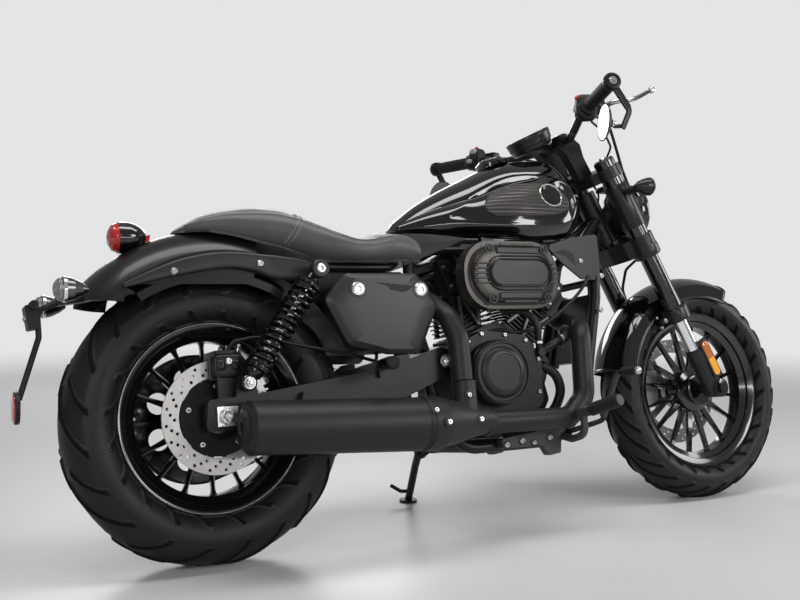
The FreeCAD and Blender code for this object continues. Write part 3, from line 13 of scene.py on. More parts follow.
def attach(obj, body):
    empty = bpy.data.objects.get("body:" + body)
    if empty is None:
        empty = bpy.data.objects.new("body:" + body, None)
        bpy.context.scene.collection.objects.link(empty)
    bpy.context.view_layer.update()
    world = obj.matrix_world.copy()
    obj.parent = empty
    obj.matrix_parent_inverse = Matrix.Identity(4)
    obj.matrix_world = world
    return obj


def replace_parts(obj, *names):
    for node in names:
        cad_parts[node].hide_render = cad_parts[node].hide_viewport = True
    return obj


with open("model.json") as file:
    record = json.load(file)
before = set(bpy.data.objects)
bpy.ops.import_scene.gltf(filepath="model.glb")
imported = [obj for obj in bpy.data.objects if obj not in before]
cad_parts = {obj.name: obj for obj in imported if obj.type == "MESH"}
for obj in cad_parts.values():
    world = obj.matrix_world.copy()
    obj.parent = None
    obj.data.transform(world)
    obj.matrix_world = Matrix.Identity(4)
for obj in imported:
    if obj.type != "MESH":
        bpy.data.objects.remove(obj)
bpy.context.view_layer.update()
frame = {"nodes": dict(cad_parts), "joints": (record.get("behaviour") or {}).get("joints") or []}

# ------------------------------------------------------------------ studio
# A pale seamless floor under even light: a long ceiling panel, narrow panels on each side that draw
# highlights along tank and fenders, and smaller ones towards the tail and the nose.


def placed(name, data):
    """New object of a lamp, mesh or camera, linked into the scene."""
    thing = bpy.data.objects.new(name, data)
    bpy.context.scene.collection.objects.link(thing)
    return thing


def set_inputs(node, values):
    """Give inputs of a node their values, by name."""
    for name, value in values.items():
        node.inputs[name].default_value = value


def soft_panel(name, place, aim, width, height, watts):
    """Area light of a width and height in metres, turned to face a point."""
    data = bpy.data.lights.new(name, "AREA")
    data.shape = "RECTANGLE"
    data.size = width
    data.size_y = height
    data.energy = watts
    lamp = placed(name, data)
    lamp.location = place
    lamp.rotation_euler = (Vector(aim) - Vector(place)).to_track_quat("-Z", "Y").to_euler()


MIRRORED = 0.30


def pale_for_sight(node_tree, seen, light):
    """Background strength: one value where it is seen or seen through, less mirrored, least as light."""
    nodes, links = node_tree.nodes, node_tree.links
    path = nodes.new("ShaderNodeLightPath")
    reach = nodes.new("ShaderNodeMapRange")
    total = path.outputs["Is Camera Ray"]
    for kind, share in (("Is Transmission Ray", 1.0), ("Is Glossy Ray", MIRRORED)):
        either = nodes.new("ShaderNodeMath")
        either.operation = "MULTIPLY_ADD"
        either.use_clamp = True
        links.new(path.outputs[kind], either.inputs[0])
        either.inputs[1].default_value = share
        links.new(total, either.inputs[2])
        total = either.outputs[0]
    links.new(total, reach.inputs["Value"])
    set_inputs(reach, {"To Min": light, "To Max": seen})
    return reach.outputs["Result"]


PALE = (0.90, 0.905, 0.91)
PALE_SEEN = 0.86
world = bpy.data.worlds.new("studio")
bpy.context.scene.world = world
world.use_nodes = True
backdrop = world.node_tree.nodes["Background"]
backdrop.inputs["Color"].default_value = (*PALE, 1)
world.node_tree.links.new(pale_for_sight(world.node_tree, PALE_SEEN, 0.14), backdrop.inputs["Strength"])

soft_panel("ceiling_panel", (-0.1, -0.45, 2.9), (0, 0, 0.5), 3.4, 0.7, 56)
soft_panel("right_panel", (1.9, -3.4, 1.9), (0, 0, 0.6), 1.3, 1.0, 45)
soft_panel("tail_panel", (-2.7, -2.9, 1.7), (-0.3, 0, 0.5), 0.5, 1.6, 30)
soft_panel("low_strip", (0.2, -3.6, 0.9), (0, 0, 0.4), 3.0, 0.12, 16)
soft_panel("left_panel", (0.6, 3.3, 1.85), (0, 0, 0.5), 2.8, 0.9, 50)
soft_panel("nose_panel", (3.2, -0.9, 1.4), (0.4, 0, 0.5), 1.2, 1.4, 26)

floor_mesh = bpy.data.meshes.new("studio_floor")
floor_mesh.from_pydata([(-30, -30, 0), (30, -30, 0), (30, 30, 0), (-30, 30, 0)], [], [(0, 1, 2, 3)])
floor = placed("studio_floor", floor_mesh)
# the floor turns into the backdrop's own pale tone with distance, so that no edge shows
pale = bpy.data.materials.new("pale_floor")
pale.use_nodes = True
floor_nodes, floor_links = pale.node_tree.nodes, pale.node_tree.links
set_inputs(floor_nodes["Principled BSDF"], {"Base Color": (0.62, 0.62, 0.63, 1), "Roughness": 0.42})
glow = floor_nodes.new("ShaderNodeEmission")
glow.inputs["Color"].default_value = (*[PALE_SEEN * c for c in PALE], 1)
away = floor_nodes.new("ShaderNodeVectorMath")
away.operation = "LENGTH"
floor_links.new(floor_nodes.new("ShaderNodeTexCoord").outputs["Object"], away.inputs[0])
fade = floor_nodes.new("ShaderNodeMapRange")
fade.interpolation_type = "SMOOTHSTEP"
set_inputs(fade, {"From Min": 1.6, "From Max": 6.5})
floor_links.new(away.outputs["Value"], fade.inputs["Value"])
blend = floor_nodes.new("ShaderNodeMixShader")
floor_links.new(fade.outputs["Result"], blend.inputs[0])
floor_links.new(floor_nodes["Principled BSDF"].outputs[0], blend.inputs[1])
floor_links.new(glow.outputs[0], blend.inputs[2])
floor_links.new(blend.outputs[0], floor_nodes["Material Output"].inputs["Surface"])
floor_mesh.materials.append(pale)

CAMERA_PLACE = (-1.2924, -2.1652, 0.6188)
CAMERA_YAW = 28.344
CAMERA_DOWN = 1.407
CAMERA_ROLL = 0.230
CAMERA_LENS = 43.693

camera_data = bpy.data.cameras.new("camera")
camera_data.lens = CAMERA_LENS
camera_data.sensor_width = 36.0
camera = placed("camera", camera_data)
yaw, tilt, roll = (Matrix.Rotation(math.radians(angle), 3, axis)
                   for angle, axis in ((-CAMERA_YAW, "Z"), (90 - CAMERA_DOWN, "X"), (CAMERA_ROLL, "Z")))
camera.matrix_world = Matrix.Translation(CAMERA_PLACE) @ (yaw @ tilt @ roll).to_4x4()
bpy.context.scene.camera = camera
bpy.context.scene.view_settings.view_transform = "Standard"

# ------------------------------------------------------------------ tyres
# Road tyres of black rubber on cast wheels. The tread is a round crown with long slanted grooves that
# sweep from near the middle to the shoulders; the sidewalls carry moulded rings and knurled patches.

MM = 0.001
JOINTS = {joint["name"]: joint for joint in frame["joints"]}
LEAN = math.atan2(-JOINTS["rear_wheel_spin"]["axis"][2], JOINTS["rear_wheel_spin"]["axis"][1])
REAR_AXLE = np.array(JOINTS["rear_wheel_spin"]["pos_m"])
REAR_RADIUS = 310.5
FRONT_RADIUS = 299.0
WHEELBASE = (JOINTS["front_wheel_spin"]["pos_m"][0] - REAR_AXLE[0]) / MM
LEAN_TURN = np.array([[1, 0, 0], [0, math.cos(LEAN), math.sin(LEAN)], [0, -math.sin(LEAN), math.cos(LEAN)]])


def parked(points):
    """Points of the upright bike, in mm, leaned over to the frame's place, in metres."""
    upright = (np.asarray(points, float) - (0, 0, REAR_RADIUS)) * MM
    return upright @ LEAN_TURN.T + REAR_AXLE


def grid_faces(rows, cols, wrap_rows=False, wrap_cols=True):
    """Quads between neighbours of a rows x cols grid of points, with the last row and column joined on."""
    i = np.arange(rows if wrap_rows else rows - 1)[:, None]
    j = np.arange(cols if wrap_cols else cols - 1)[None, :]
    i2, j2 = (i + 1) % rows, (j + 1) % cols
    return np.stack([i * cols + j, i * cols + j2, i2 * cols + j2, i2 * cols + j], -1).reshape(-1, 4).tolist()


def capped(grid):
    """Closed shape from a grid whose rows are rings: quads round it and one flat face at each end."""
    rows, cols = grid.shape[:2]
    faces = grid_faces(rows, cols)
    faces.append(list(range(cols))[::-1])
    faces.append([(rows - 1) * cols + j for j in range(cols)])
    return grid.reshape(-1, 3), faces


def outward(points, faces):
    """The shape with its faces turned over if the volume they enclose comes out negative."""
    pts = np.asarray(points)
    volume = 0.0
    for size in {len(face) for face in faces}:
        ring = pts[np.array([face for face in faces if len(face) == size])]
        for k in range(1, size - 1):
            volume += np.einsum("ij,ij->i", ring[:, 0], np.cross(ring[:, k], ring[:, k + 1])).sum()
    return (pts, faces) if volume > 0 else (pts, [face[::-1] for face in faces])


def piece(name, shapes, body, material, sharp=32.0):
    """One object from closed (points, faces) shapes in upright mm; it rides on a body of the frame."""
    verts, polys, start = [], [], 0
    for points, faces in (outward(*shape) for shape in shapes):
        verts.append(points)
        polys += [[index + start for index in face] for face in faces]
        start += len(points)
    mesh = bpy.data.meshes.new(name)
    mesh.from_pydata(parked(np.concatenate(verts)).tolist(), [], polys)
    mesh.polygons.foreach_set("use_smooth", np.ones(len(polys), bool))
    mesh.set_sharp_from_angle(angle=math.radians(sharp))
    mesh.materials.append(material)
    thing = placed(name, mesh)
    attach(thing, body)
    return thing


def dress(nodes, material):
    """Give CAD nodes a material of this file."""
    for name in nodes:
        frame["nodes"][name].data.materials.clear()
        frame["nodes"][name].data.materials.append(material)


def new_material(name):
    """Material with nodes: itself, its nodes, its links and its shader."""
    material = bpy.data.materials.new(name)
    material.use_nodes = True
    nodes, links = material.node_tree.nodes, material.node_tree.links
    return material, nodes, links, nodes["Principled BSDF"]


def texture(material, kind, scale, over="Object"):
    """Texture node of a scale, laid over the material's Object or UV coordinates."""
    nodes, links = material.node_tree.nodes, material.node_tree.links
    pattern = nodes.new("ShaderNodeTex" + kind)
    pattern.inputs["Scale"].default_value = scale
    links.new(nodes.new("ShaderNodeTexCoord").outputs[over], pattern.inputs["Vector"])
    return pattern


def toned(material, share, high, low=None):
    """Mix the base colour towards high by a share; it starts from low, or else from what is linked now."""
    nodes, links = material.node_tree.nodes, material.node_tree.links
    base = nodes["Principled BSDF"].inputs["Base Color"]
    tone = nodes.new("ShaderNodeMix")
    tone.data_type = "RGBA"
    links.new(share, tone.inputs["Factor"])
    if low is None:
        links.new(base.links[0].from_socket, tone.inputs[6])
    else:
        tone.inputs[6].default_value = (*low, 1)
    tone.inputs[7].default_value = (*high, 1)
    links.new(tone.outputs[2], base)


def bumped(material, height, strength, distance):
    """Lay a bump from a height over whatever bump the material already has; distance in metres."""
    nodes, links = material.node_tree.nodes, material.node_tree.links
    normal = nodes["Principled BSDF"].inputs["Normal"]
    bump = nodes.new("ShaderNodeBump")
    set_inputs(bump, {"Strength": strength, "Distance": distance})
    links.new(height, bump.inputs["Height"])
    if normal.is_linked:
        links.new(normal.links[0].from_socket, bump.inputs["Normal"])
    links.new(bump.outputs["Normal"], normal)


def finish(name, colour, roughness, metallic=0.0, coat=0.0, spread=0.08, blotch=22.0, grain=900.0,
           depth=0.02, mottle=0.12, shine=0.25):
    """Surface finish: a colour and roughness that wander a little over the piece, under a fine grain.

    The wander is noise of blotch waves a metre; the grain is a bump of grain waves a metre.
    """
    material, nodes, links, shader = new_material(name)
    set_inputs(shader, {"Metallic": metallic, "Specular IOR Level": shine, "Coat Weight": coat,
                        "Coat Roughness": 0.04})
    wander = texture(material, "Noise", blotch)
    wander.inputs["Detail"].default_value = 5.0
    rough = nodes.new("ShaderNodeMapRange")
    set_inputs(rough, {"To Min": max(roughness - spread, 0.02), "To Max": min(roughness + spread, 1.0)})
    links.new(wander.outputs["Fac"], rough.inputs["Value"])
    links.new(rough.outputs["Result"], shader.inputs["Roughness"])
    toned(material, wander.outputs["Fac"], [min(c * (1 + mottle), 1.0) for c in colour],
          [c * (1 - mottle) for c in colour])
    fine = texture(material, "Noise", grain)
    fine.inputs["Detail"].default_value = 2.0
    bumped(material, fine.outputs["Fac"], depth * 10, 0.0002)
    return material


def bow(first, middle, last, count):
    """Points along the circular arc through three points of a plane."""
    (ax, ay), (bx, by), (cx, cy) = first, middle, last
    d = 2 * (ax * (by - cy) + bx * (cy - ay) + cx * (ay - by))
    a2, b2, c2 = ax * ax + ay * ay, bx * bx + by * by, cx * cx + cy * cy
    ux = (a2 * (by - cy) + b2 * (cy - ay) + c2 * (ay - by)) / d
    uy = (a2 * (cx - bx) + b2 * (ax - cx) + c2 * (bx - ax)) / d
    start, mid, end = (math.atan2(y - uy, x - ux) for x, y in (first, middle, last))
    mid = start + (mid - start + math.pi) % (2 * math.pi) - math.pi
    end = mid + (end - mid + math.pi) % (2 * math.pi) - math.pi
    angle = np.linspace(start, end, count)
    return np.stack([ux + math.hypot(ax - ux, ay - uy) * np.cos(angle),
                     uy + math.hypot(ax - ux, ay - uy) * np.sin(angle)], -1)


TREAD_ROUND = 1900.0
OFF_TREAD = 9.0
GROOVE_DEEP = 5.0
# lead in pitches, sweep in mm, where it starts and ends in half treads, and half its width in mm
GROOVES = ((0.0, 118.0, 0.14, 1.14, 4.2), (0.5, 96.0, 0.46, 1.18, 3.8), (0.3, 190.0, 0.05, 0.36, 3.6))


def groove(turn, across, half, pitches, lead, sweep, low, high, half_width):
    """Distance from a slanted groove that repeats round the tyre, in half widths of the groove.

    It lags by sweep on its straight way from the shoulder to the middle, and by a quarter pitch on the
    right; the distance is taken square to its own line.
    """
    share = np.abs(across)
    pitch = TREAD_ROUND / pitches
    lag = sweep * (1 - share)
    slope = sweep / half
    line = (turn * pitches - lead - 0.25 * (across < 0)) * pitch + lag
    line = (line / pitch + 0.5) % 1.0 * pitch - pitch / 2
    past = np.maximum(low - share, share - high) / 0.05
    return np.maximum(np.abs(line) / np.sqrt(1 + slope ** 2) / half_width, 1 + past)


def round_axle(x, z, reach, angle, y):
    """Points at a reach and an angle in radians round a cross axis at (x, z), each at its sideways y."""
    return np.stack(np.broadcast_arrays(x + reach * np.cos(angle), y, z + reach * np.sin(angle)), -1)


def tyre_shape(centre_x, radius, width, crown, bead, rim_width, pitches, rings):
    """Closed tyre: a section carried round the axle, sunk where a groove runs, raised at moulded rings."""
    tread = 0.41 * width
    shoulder = radius - crown + math.sqrt(crown ** 2 - tread ** 2)
    seat, lip, foot = bead + 0.3, bead + 18, rim_width / 2 - 0.3
    wide = (width / 2, (shoulder + lip) / 2 + 12)
    top = np.stack([np.linspace(-tread, tread, 57)] * 2, -1)
    top[:, 1] = radius - crown + np.sqrt(crown ** 2 - top[:, 0] ** 2)
    side = bow((tread, shoulder), wide, (foot, lip), 19)[1:]
    inner = bow((foot - 14, seat), (0, radius - 14), (14 - foot, seat), 7)
    left = side[::-1] * (-1, 1)
    section = np.concatenate([left, top, side, [(foot, seat)], inner, [(-foot, seat)]])
    step = np.roll(section, -1, 0) - np.roll(section, 1, 0)
    normal = np.stack([-step[:, 1], step[:, 0]], -1) / np.linalg.norm(step, axis=1)[:, None]
    across = np.where(np.arange(len(section)) < len(left) + len(top) + len(side), section[:, 0] / tread,
                      OFF_TREAD)
    turn = np.arange(rings)[:, None] / rings
    way = np.where(np.abs(across) < 1.2, across, OFF_TREAD)[None, :]
    near = np.minimum.reduce([groove(turn, way, tread, pitches, *sizes) for sizes in GROOVES])
    # share of each point that lies in a groove; the rubber gets painted shade there
    sunk = np.clip(2.0 - near, 0, 1)
    depth = np.clip((1.2 - near) / 0.6, 0, 1) * GROOVE_DEEP
    reach = section[:, 1]
    on_side = (np.abs(across) > 1.0) & (across < OFF_TREAD)
    for ring_r, half, high in ((bead + 22, 1.4, 1.3), (bead + 28, 1.0, 0.8), (shoulder - 17, 2.4, 1.7)):
        depth = depth - (on_side * np.clip(1.3 - np.abs(reach - ring_r) / half, 0, 1) * high)[None, :]
    flat = section[None, :, :] + normal[None, :, :] * depth[:, :, None]
    grid = round_axle(centre_x, radius, flat[:, :, 1], 2 * math.pi * turn, flat[:, :, 0])
    return grid, grid_faces(rings, len(section), wrap_rows=True), turn, across, reach, sunk


def rubber_with_patches(name):
    """Tyre rubber: dull black, chequered where the patch attribute is 1; painted shade turns it near black
    in the grooves, where sunk is near 1.
    """
    material = finish(name, (0.008, 0.008, 0.0085), 0.48, blotch=14.0, grain=1600.0, depth=0.05, shine=0.27)
    nodes, links = material.node_tree.nodes, material.node_tree.links
    patch, sunk = (nodes.new("ShaderNodeAttribute") for _ in range(2))
    patch.attribute_name, sunk.attribute_name = "patch", "sunk"
    raised, dull = (nodes.new("ShaderNodeMath") for _ in range(2))
    raised.operation, dull.operation = "MULTIPLY", "MAXIMUM"
    links.new(texture(material, "Checker", 190.0, "UV").outputs["Fac"], raised.inputs[0])
    links.new(patch.outputs["Fac"], raised.inputs[1])
    bumped(material, raised.outputs[0], 1.0, 0.0008)
    edge = nodes.new("ShaderNodeMapRange")
    set_inputs(edge, {"From Min": 0.72, "From Max": 0.92})
    links.new(sunk.outputs["Fac"], edge.inputs["Value"])
    toned(material, raised.outputs[0], [0.024] * 3)
    # painted shade: the grooves' floors and walls are coloured near black
    toned(material, edge.outputs["Result"], [0.0006] * 3)
    roughness = nodes["Principled BSDF"].inputs["Roughness"]
    links.new(roughness.links[0].from_socket, dull.inputs[0])
    links.new(edge.outputs["Result"], dull.inputs[1])
    links.new(dull.outputs[0], roughness)
    return material


def make_tyre(name, body, node, material, **sizes):
    """Tyre piece with its wheel-round map and attributes for the knurled patches and for the painted shade
    of the sunk grooves.
    """
    grid, faces, turn, across, reach, sunk = tyre_shape(**sizes)
    tyre = piece(name, [(grid.reshape(-1, 3), faces)], body, material, sharp=50.0)
    rows, cols = grid.shape[:2]
    mesh = tyre.data
    middle = sizes["bead"] + 46.0
    on_wall = (np.abs(across) > 1.06) & (np.abs(across) < OFF_TREAD)
    near = np.clip(1.4 - np.abs(reach - middle) / 16.0, 0, 1) * on_wall
    windows = np.clip(1.5 - np.abs((turn * 4 + 0.37) % 1.0 - 0.5) / 0.13, 0, 1)
    for label, values in (("patch", windows * near[None, :]), ("sunk", sunk)):
        mesh.attributes.new(label, "FLOAT", "POINT").data.foreach_set("value", values.ravel())
    loops = np.zeros(len(mesh.loops), np.int32)
    mesh.loops.foreach_get("vertex_index", loops)
    around = (loops // cols) / rows * 2 * math.pi * sizes["radius"] * MM
    sideways = reach[loops % cols] * MM
    layer = mesh.uv_layers.new(name="round")
    layer.data.foreach_set("uv", np.stack([around, sideways], -1).ravel())
    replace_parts(tyre, node)


tyre_rubber = rubber_with_patches("tyre_rubber")
make_tyre("rear_tyre_tread", "rear_wheel", "rear_tyre", tyre_rubber, centre_x=0.0, radius=REAR_RADIUS,
          width=150.0, crown=80.0, bead=190.5, rim_width=101.6, pitches=10, rings=900)
make_tyre("front_tyre_tread", "front_wheel", "front_tyre", tyre_rubber, centre_x=WHEELBASE,
          radius=FRONT_RADIUS, width=120.0, crown=65.0, bead=203.2, rim_width=76.2, pitches=14, rings=900)

# ------------------------------------------------------------------ wheels, discs and pulley
# Cast alloy wheels under gloss black enamel, each with sixteen blades. Drilled steel discs on black
# carriers with five button bolts, and on the left of the rear wheel the toothed belt's pulley.

wheel_enamel = finish("wheel_enamel", (0.003, 0.003, 0.003), 0.16, coat=0.5, spread=0.05, depth=0.01,
                      shine=0.5)
disc_steel = finish("disc_steel", (0.34, 0.33, 0.32), 0.36, metallic=1.0, spread=0.10, blotch=60.0,
                    grain=500.0)
bolt_zinc = finish("bolt_zinc", (0.46, 0.46, 0.45), 0.28, metallic=1.0, spread=0.12, blotch=120.0)
dress(["rear_disc", "front_disc"], disc_steel)
LEFT, RIGHT = (0, 1, 0), (0, -1, 0)


def ring_frame(along):
    """Two unit vectors square to a direction and to each other."""
    axis = np.asarray(along, float) / np.linalg.norm(along)
    helper = np.array([0.0, 0.0, 1.0]) if abs(axis[2]) < 0.9 else np.array([1.0, 0.0, 0.0])
    first = np.cross(helper, axis)
    first /= np.linalg.norm(first)
    return axis, first, np.cross(axis, first)


def spun(profile, base, along, steps):
    """Grid of (distance along, radius) points carried round an axis."""
    axis, first, second = ring_frame(along)
    s, r = np.asarray(profile, float).T
    angle = 2 * math.pi * np.arange(steps) / steps
    ring = np.cos(angle)[:, None] * first + np.sin(angle)[:, None] * second
    return np.asarray(base, float) + s[:, None, None] * axis + r[:, None, None] * ring[None]


def lathe(profile, base, along, steps=32):
    """Closed turned shape whose profile runs from end to end, with flat ends."""
    return capped(spun(profile, base, along, steps))


def hollow_lathe(profile, base, along, steps=32):
    """Turned ring: the profile is a closed outline off the axis."""
    grid = spun(profile, base, along, steps)
    return grid.reshape(-1, 3), grid_faces(*grid.shape[:2], wrap_rows=True)


def socket_bolt(place, along, radius, height):
    """Domed bolt head with a socket sunk in it, turned with few faces."""
    profile = [(-0.5, radius), (height * 0.5, radius), (height, radius * 0.72), (height, radius * 0.42),
               (height * 0.35, radius * 0.38)]
    return lathe(profile, place, along, 12)


def hex_nut(place, along, radius, height):
    """Six-sided nut with its washer and the rounded end of the bar in it."""
    washer = lathe([(-0.3, radius * 1.25), (1.6, radius * 1.25)], place, along, 24)
    nut = lathe([(1.2, radius), (height, radius), (height + 0.8, radius * 0.88)], place, along, 6)
    end = lathe([(height - 1, radius * 0.55), (height + 3, radius * 0.55), (height + 4, radius * 0.42)],
                place, along, 16)
    return [washer, nut, end]


def fasteners(name, shapes, body="frame"):
    """Piece of bright zinc bolts, nuts or clips."""
    piece(name, shapes, body, bolt_zinc)


def wheel_circle(x, z, y, reach, count, start):
    """Places spaced evenly round an axle at one reach from it; start is the first's angle in degrees."""
    angle = math.radians(start) + 2 * math.pi * np.arange(count) / count
    return round_axle(x, z, reach, angle, y)


def cast_wheel(name, body, node, x, radius, bead, rim_width, hub_half, boss, phase, spokes=16):
    """Cast wheel: a stepped barrel, a waisted hub, and blades with a ridge down both faces.

    A blade narrows from the hub to the rim and spreads a little where it meets the barrel.
    """
    outer, inner = rim_width / 2 + 6, rim_width / 2
    well, lip = inner - 24, bead + 14
    side = [(outer - 0.4, lip - 1.6), (outer - 2.4, lip), (inner + 1, lip), (inner, lip - 2),
            (inner, bead + 1), (inner - 2, bead), (inner - 14, bead), (inner - 17, bead - 3),
            (well, bead - 18)]
    under = [(well, bead - 25), (well + 5, bead - 24.4), (outer - 15, bead - 10), (outer - 9, bead - 8),
             (outer - 6.5, bead - 4), (outer - 4.4, bead), (outer - 2.6, bead + 3.6),
             (outer - 1.2, bead + 7), (outer - 0.3, bead + 10)]
    outline = [(-y, r) for y, r in side] + side[::-1] + under[::-1] + [(-y, r) for y, r in under]
    shapes = [hollow_lathe(outline, (x, 0, radius), LEFT, 180)]
    waist = [(hub_half, 40), (hub_half - 1.5, 42), (hub_half - 4, 44), (hub_half - 14, 44), (24, 42),
             (19, boss - 3), (14, boss)]
    hub = [(-y, r) for y, r in waist] + waist[::-1] + [(hub_half, 14), (-hub_half, 14)]
    shapes.append(hollow_lathe(hub, (x, 0, radius), LEFT, 72))
    root = boss - 6.0
    run = bead - 24 - root
    share = np.array([0.0, 0.12, 0.35, 0.6, 0.85, 0.94, 1.0])
    half = np.array([7.6, 8.6, 7.4, 5.6, 4.0, 4.8, 8.0])
    deep = np.array([13.0, 13.5, 13.0, 12.4, 12.0, 12.2, 13.5])
    around = np.array([0, 1, 1, 0, -1, -1])[None, :] * half[:, None]
    sideways = np.array([1, 0.4, -0.4, -1, -0.4, 0.4])[None, :] * deep[:, None]
    reach = (root + run * share)[:, None] + 0 * around
    for angle in 2 * math.pi * np.arange(spokes) / spokes + math.radians(phase):
        cos, sin = math.cos(angle), math.sin(angle)
        shapes.append(capped(np.stack([x + reach * cos - around * sin, sideways,
                                       radius + reach * sin + around * cos], -1)))
    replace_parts(piece(name, shapes, body, wheel_enamel, sharp=24.0), node)


cast_wheel("rear_wheel_casting", "rear_wheel", "rear_rim", 0.0, REAR_RADIUS, 190.5, 101.6, 58.0, 46.0, 2.0)
cast_wheel("front_wheel_casting", "front_wheel", "front_rim", WHEELBASE, FRONT_RADIUS, 203.2, 76.2, 45.0,
           64.0, 14.0)

disc_bolts = [socket_bolt(place, RIGHT, 6.5, 4.5)
              for place in wheel_circle(0, REAR_RADIUS, -80.4, 66, 5, 20)]
fasteners("rear_disc_bolts", disc_bolts, "rear_wheel")
disc_bolts = [socket_bolt(place, LEFT, 6.5, 3.0)
              for place in wheel_circle(WHEELBASE, FRONT_RADIUS, 64.4, 76, 5, 0)]
fasteners("front_disc_bolts", disc_bolts, "front_wheel")

# ------------------------------------------------------------------ frame, swingarm and axles
# Steel tube frame and box-section swingarm under satin black powder coat, whose fine orange-peel skin
# shows in the highlights. Axle ends, adjuster plates and frame bolts are bright zinc.

powder_coat = finish("powder_coat", (0.008, 0.008, 0.008), 0.34, spread=0.08, grain=420.0, depth=0.04)
axle_zinc = finish("axle_zinc", (0.70, 0.70, 0.69), 0.30, metallic=1.0, spread=0.12, blotch=90.0)
dress(["main_frame", "seat_rails", "swingarm", "pivot_bolt", "foot_controls", "passenger_pegs",
       "side_stand"], powder_coat)
dress(["rear_axle", "drive_pulley"], axle_zinc)
SIDES = (-1, 1)

axle_nuts = [shape for side in SIDES
             for shape in hex_nut((0, side * 158.5, REAR_RADIUS), (0, side, 0), 13.0, 11.0)]
fasteners("rear_axle_nuts", axle_nuts)

frame_bolts = [socket_bolt((x, side * y, z), (0, side, 0), 7, 5.0)
               for x, y, z in ((1036, 118, 610), (1022, 120, 520)) for side in SIDES]
frame_bolts += hex_nut((528, -148.5, 404), RIGHT, 13.0, 9.0)


# ------------------------------------------------------------------ shock absorbers
# Two coil-over shocks: a round wire wound to a spring, black and glossy, on a damper body with a
# stepped preload collar at the foot, a bright rod at the top and a bolted eye at each end.

SHOCK_FOOT = np.array([45.0, 0.0, 376.0])
SHOCK_TOP = np.array([216.0, 0.0, 615.0])
SHOCK_Y = 150.0
COIL_TURNS = 13.5
spring_enamel = finish("spring_enamel", (0.004, 0.004, 0.004), 0.14, coat=0.5, spread=0.05)
rod_chrome = finish("rod_chrome", (0.82, 0.82, 0.83), 0.08, metallic=1.0, spread=0.04)


def carried(path, radius, steps):
    """Closed tube: a circle of the given radius, or one for each point, carried along a path.

    The circle starts square to the path and is turned on only as far as the path bends.
    """
    path = np.asarray(path, float)
    ways = np.gradient(path, axis=0)
    ways /= np.linalg.norm(ways, axis=1)[:, None]
    arms = [ring_frame(ways[0])[1]]
    for way in ways[1:]:
        arm = arms[-1] - way * np.dot(arms[-1], way)
        arms.append(arm / np.linalg.norm(arm))
    arms = np.array(arms)
    others = np.cross(ways, arms)
    angle = 2 * math.pi * np.arange(steps) / steps
    size = np.broadcast_to(np.asarray(radius, float), (len(path),))[:, None, None]
    return capped(path[:, None] + size * (np.cos(angle)[None, :, None] * arms[:, None]
                                          + np.sin(angle)[None, :, None] * others[:, None]))


def coil(base, along, length, coil_radius, wire_radius, turns):
    """Spring wire: a helix about an axis whose last turn at each end closes up flat."""
    axis, first, second = ring_frame(along)
    share = np.linspace(0, 1, int(turns * 30))
    angle = 2 * math.pi * turns * share
    closing = 0.75 / turns
    rise = np.clip((share - closing) / (1 - 2 * closing), 0, 1)
    rise = wire_radius + (length - 2 * wire_radius) * (0.9 * rise + 0.1 * share)
    path = (np.asarray(base) + rise[:, None] * axis
            + coil_radius * (np.cos(angle)[:, None] * first + np.sin(angle)[:, None] * second))
    return carried(path, wire_radius, 10)


along_shock = SHOCK_TOP - SHOCK_FOOT
shock_length = float(np.linalg.norm(along_shock))
SEAT_LOW = 42.0
SEAT_HIGH = shock_length - 46.0
for side, label in ((-1, "right"), (1, "left")):
    foot = SHOCK_FOOT + (0, side * SHOCK_Y, 0)
    unit = along_shock / shock_length
    collar = [(14, 12), (20, 17), (30, 19), (31, 28), (SEAT_LOW - 3, 30), (SEAT_LOW, 30),
              (SEAT_LOW + 0.5, 19), (150, 19), (152, 16), (156, 16)]
    hat = [(SEAT_HIGH, 15), (SEAT_HIGH, 29), (SEAT_HIGH + 6, 30), (SEAT_HIGH + 12, 26), (SEAT_HIGH + 18, 15),
           (SEAT_HIGH + 30, 13)]
    body = [lathe(collar, foot, unit), lathe(hat, foot, unit),
            coil(foot + unit * SEAT_LOW, unit, SEAT_HIGH - SEAT_LOW, 25.0, 4.3, COIL_TURNS)]
    notches = [lathe([(s, 29.5), (s + 0.8, 31), (s + 2.4, 31), (s + 3.2, 29.5)], foot, unit)
               for s in (31, 35.2)]
    eyes = [hollow_lathe([(-11, 6), (-11, 15), (-9, 17), (9, 17), (11, 15), (11, 6)],
                         point + np.array([0, side * SHOCK_Y, 0]), LEFT)
            for point in (SHOCK_FOOT, SHOCK_TOP)]
    shock = piece("shock_" + label, body + notches + eyes, "frame", spring_enamel)
    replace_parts(shock, "shocks")
    rod = lathe([(154, 6.5), (SEAT_HIGH + 2, 6.5)], foot, unit)
    piece("shock_rod_" + label, [rod], "frame", rod_chrome)
    boss = hollow_lathe([(0, 9), (0, 19), (2, 21), (10, 21), (13, 18), (13, 9)],
                        (SHOCK_TOP[0], side * 161.5, SHOCK_TOP[2]), (0, side, 0), 40)
    piece("shock_boss_" + label, [boss], "frame", powder_coat)
    frame_bolts.append(lathe([(0, 9), (11, 9), (13, 10.5), (15.5, 10.5), (17, 8.5), (17, 5), (12, 4.6)],
                             (SHOCK_TOP[0], side * 160, SHOCK_TOP[2]), (0, side, 0), 24))
    frame_bolts += hex_nut((SHOCK_FOOT[0], side * 161.5, SHOCK_FOOT[2]), (0, side, 0), 10.0, 8.0)

# ------------------------------------------------------------------ engine
# Narrow V-twin: cast crankcase, two finned cylinders with cast braces across their fins and rocker
# covers, all satin black. The braces' outer edges are machined; the cover's rings are black.

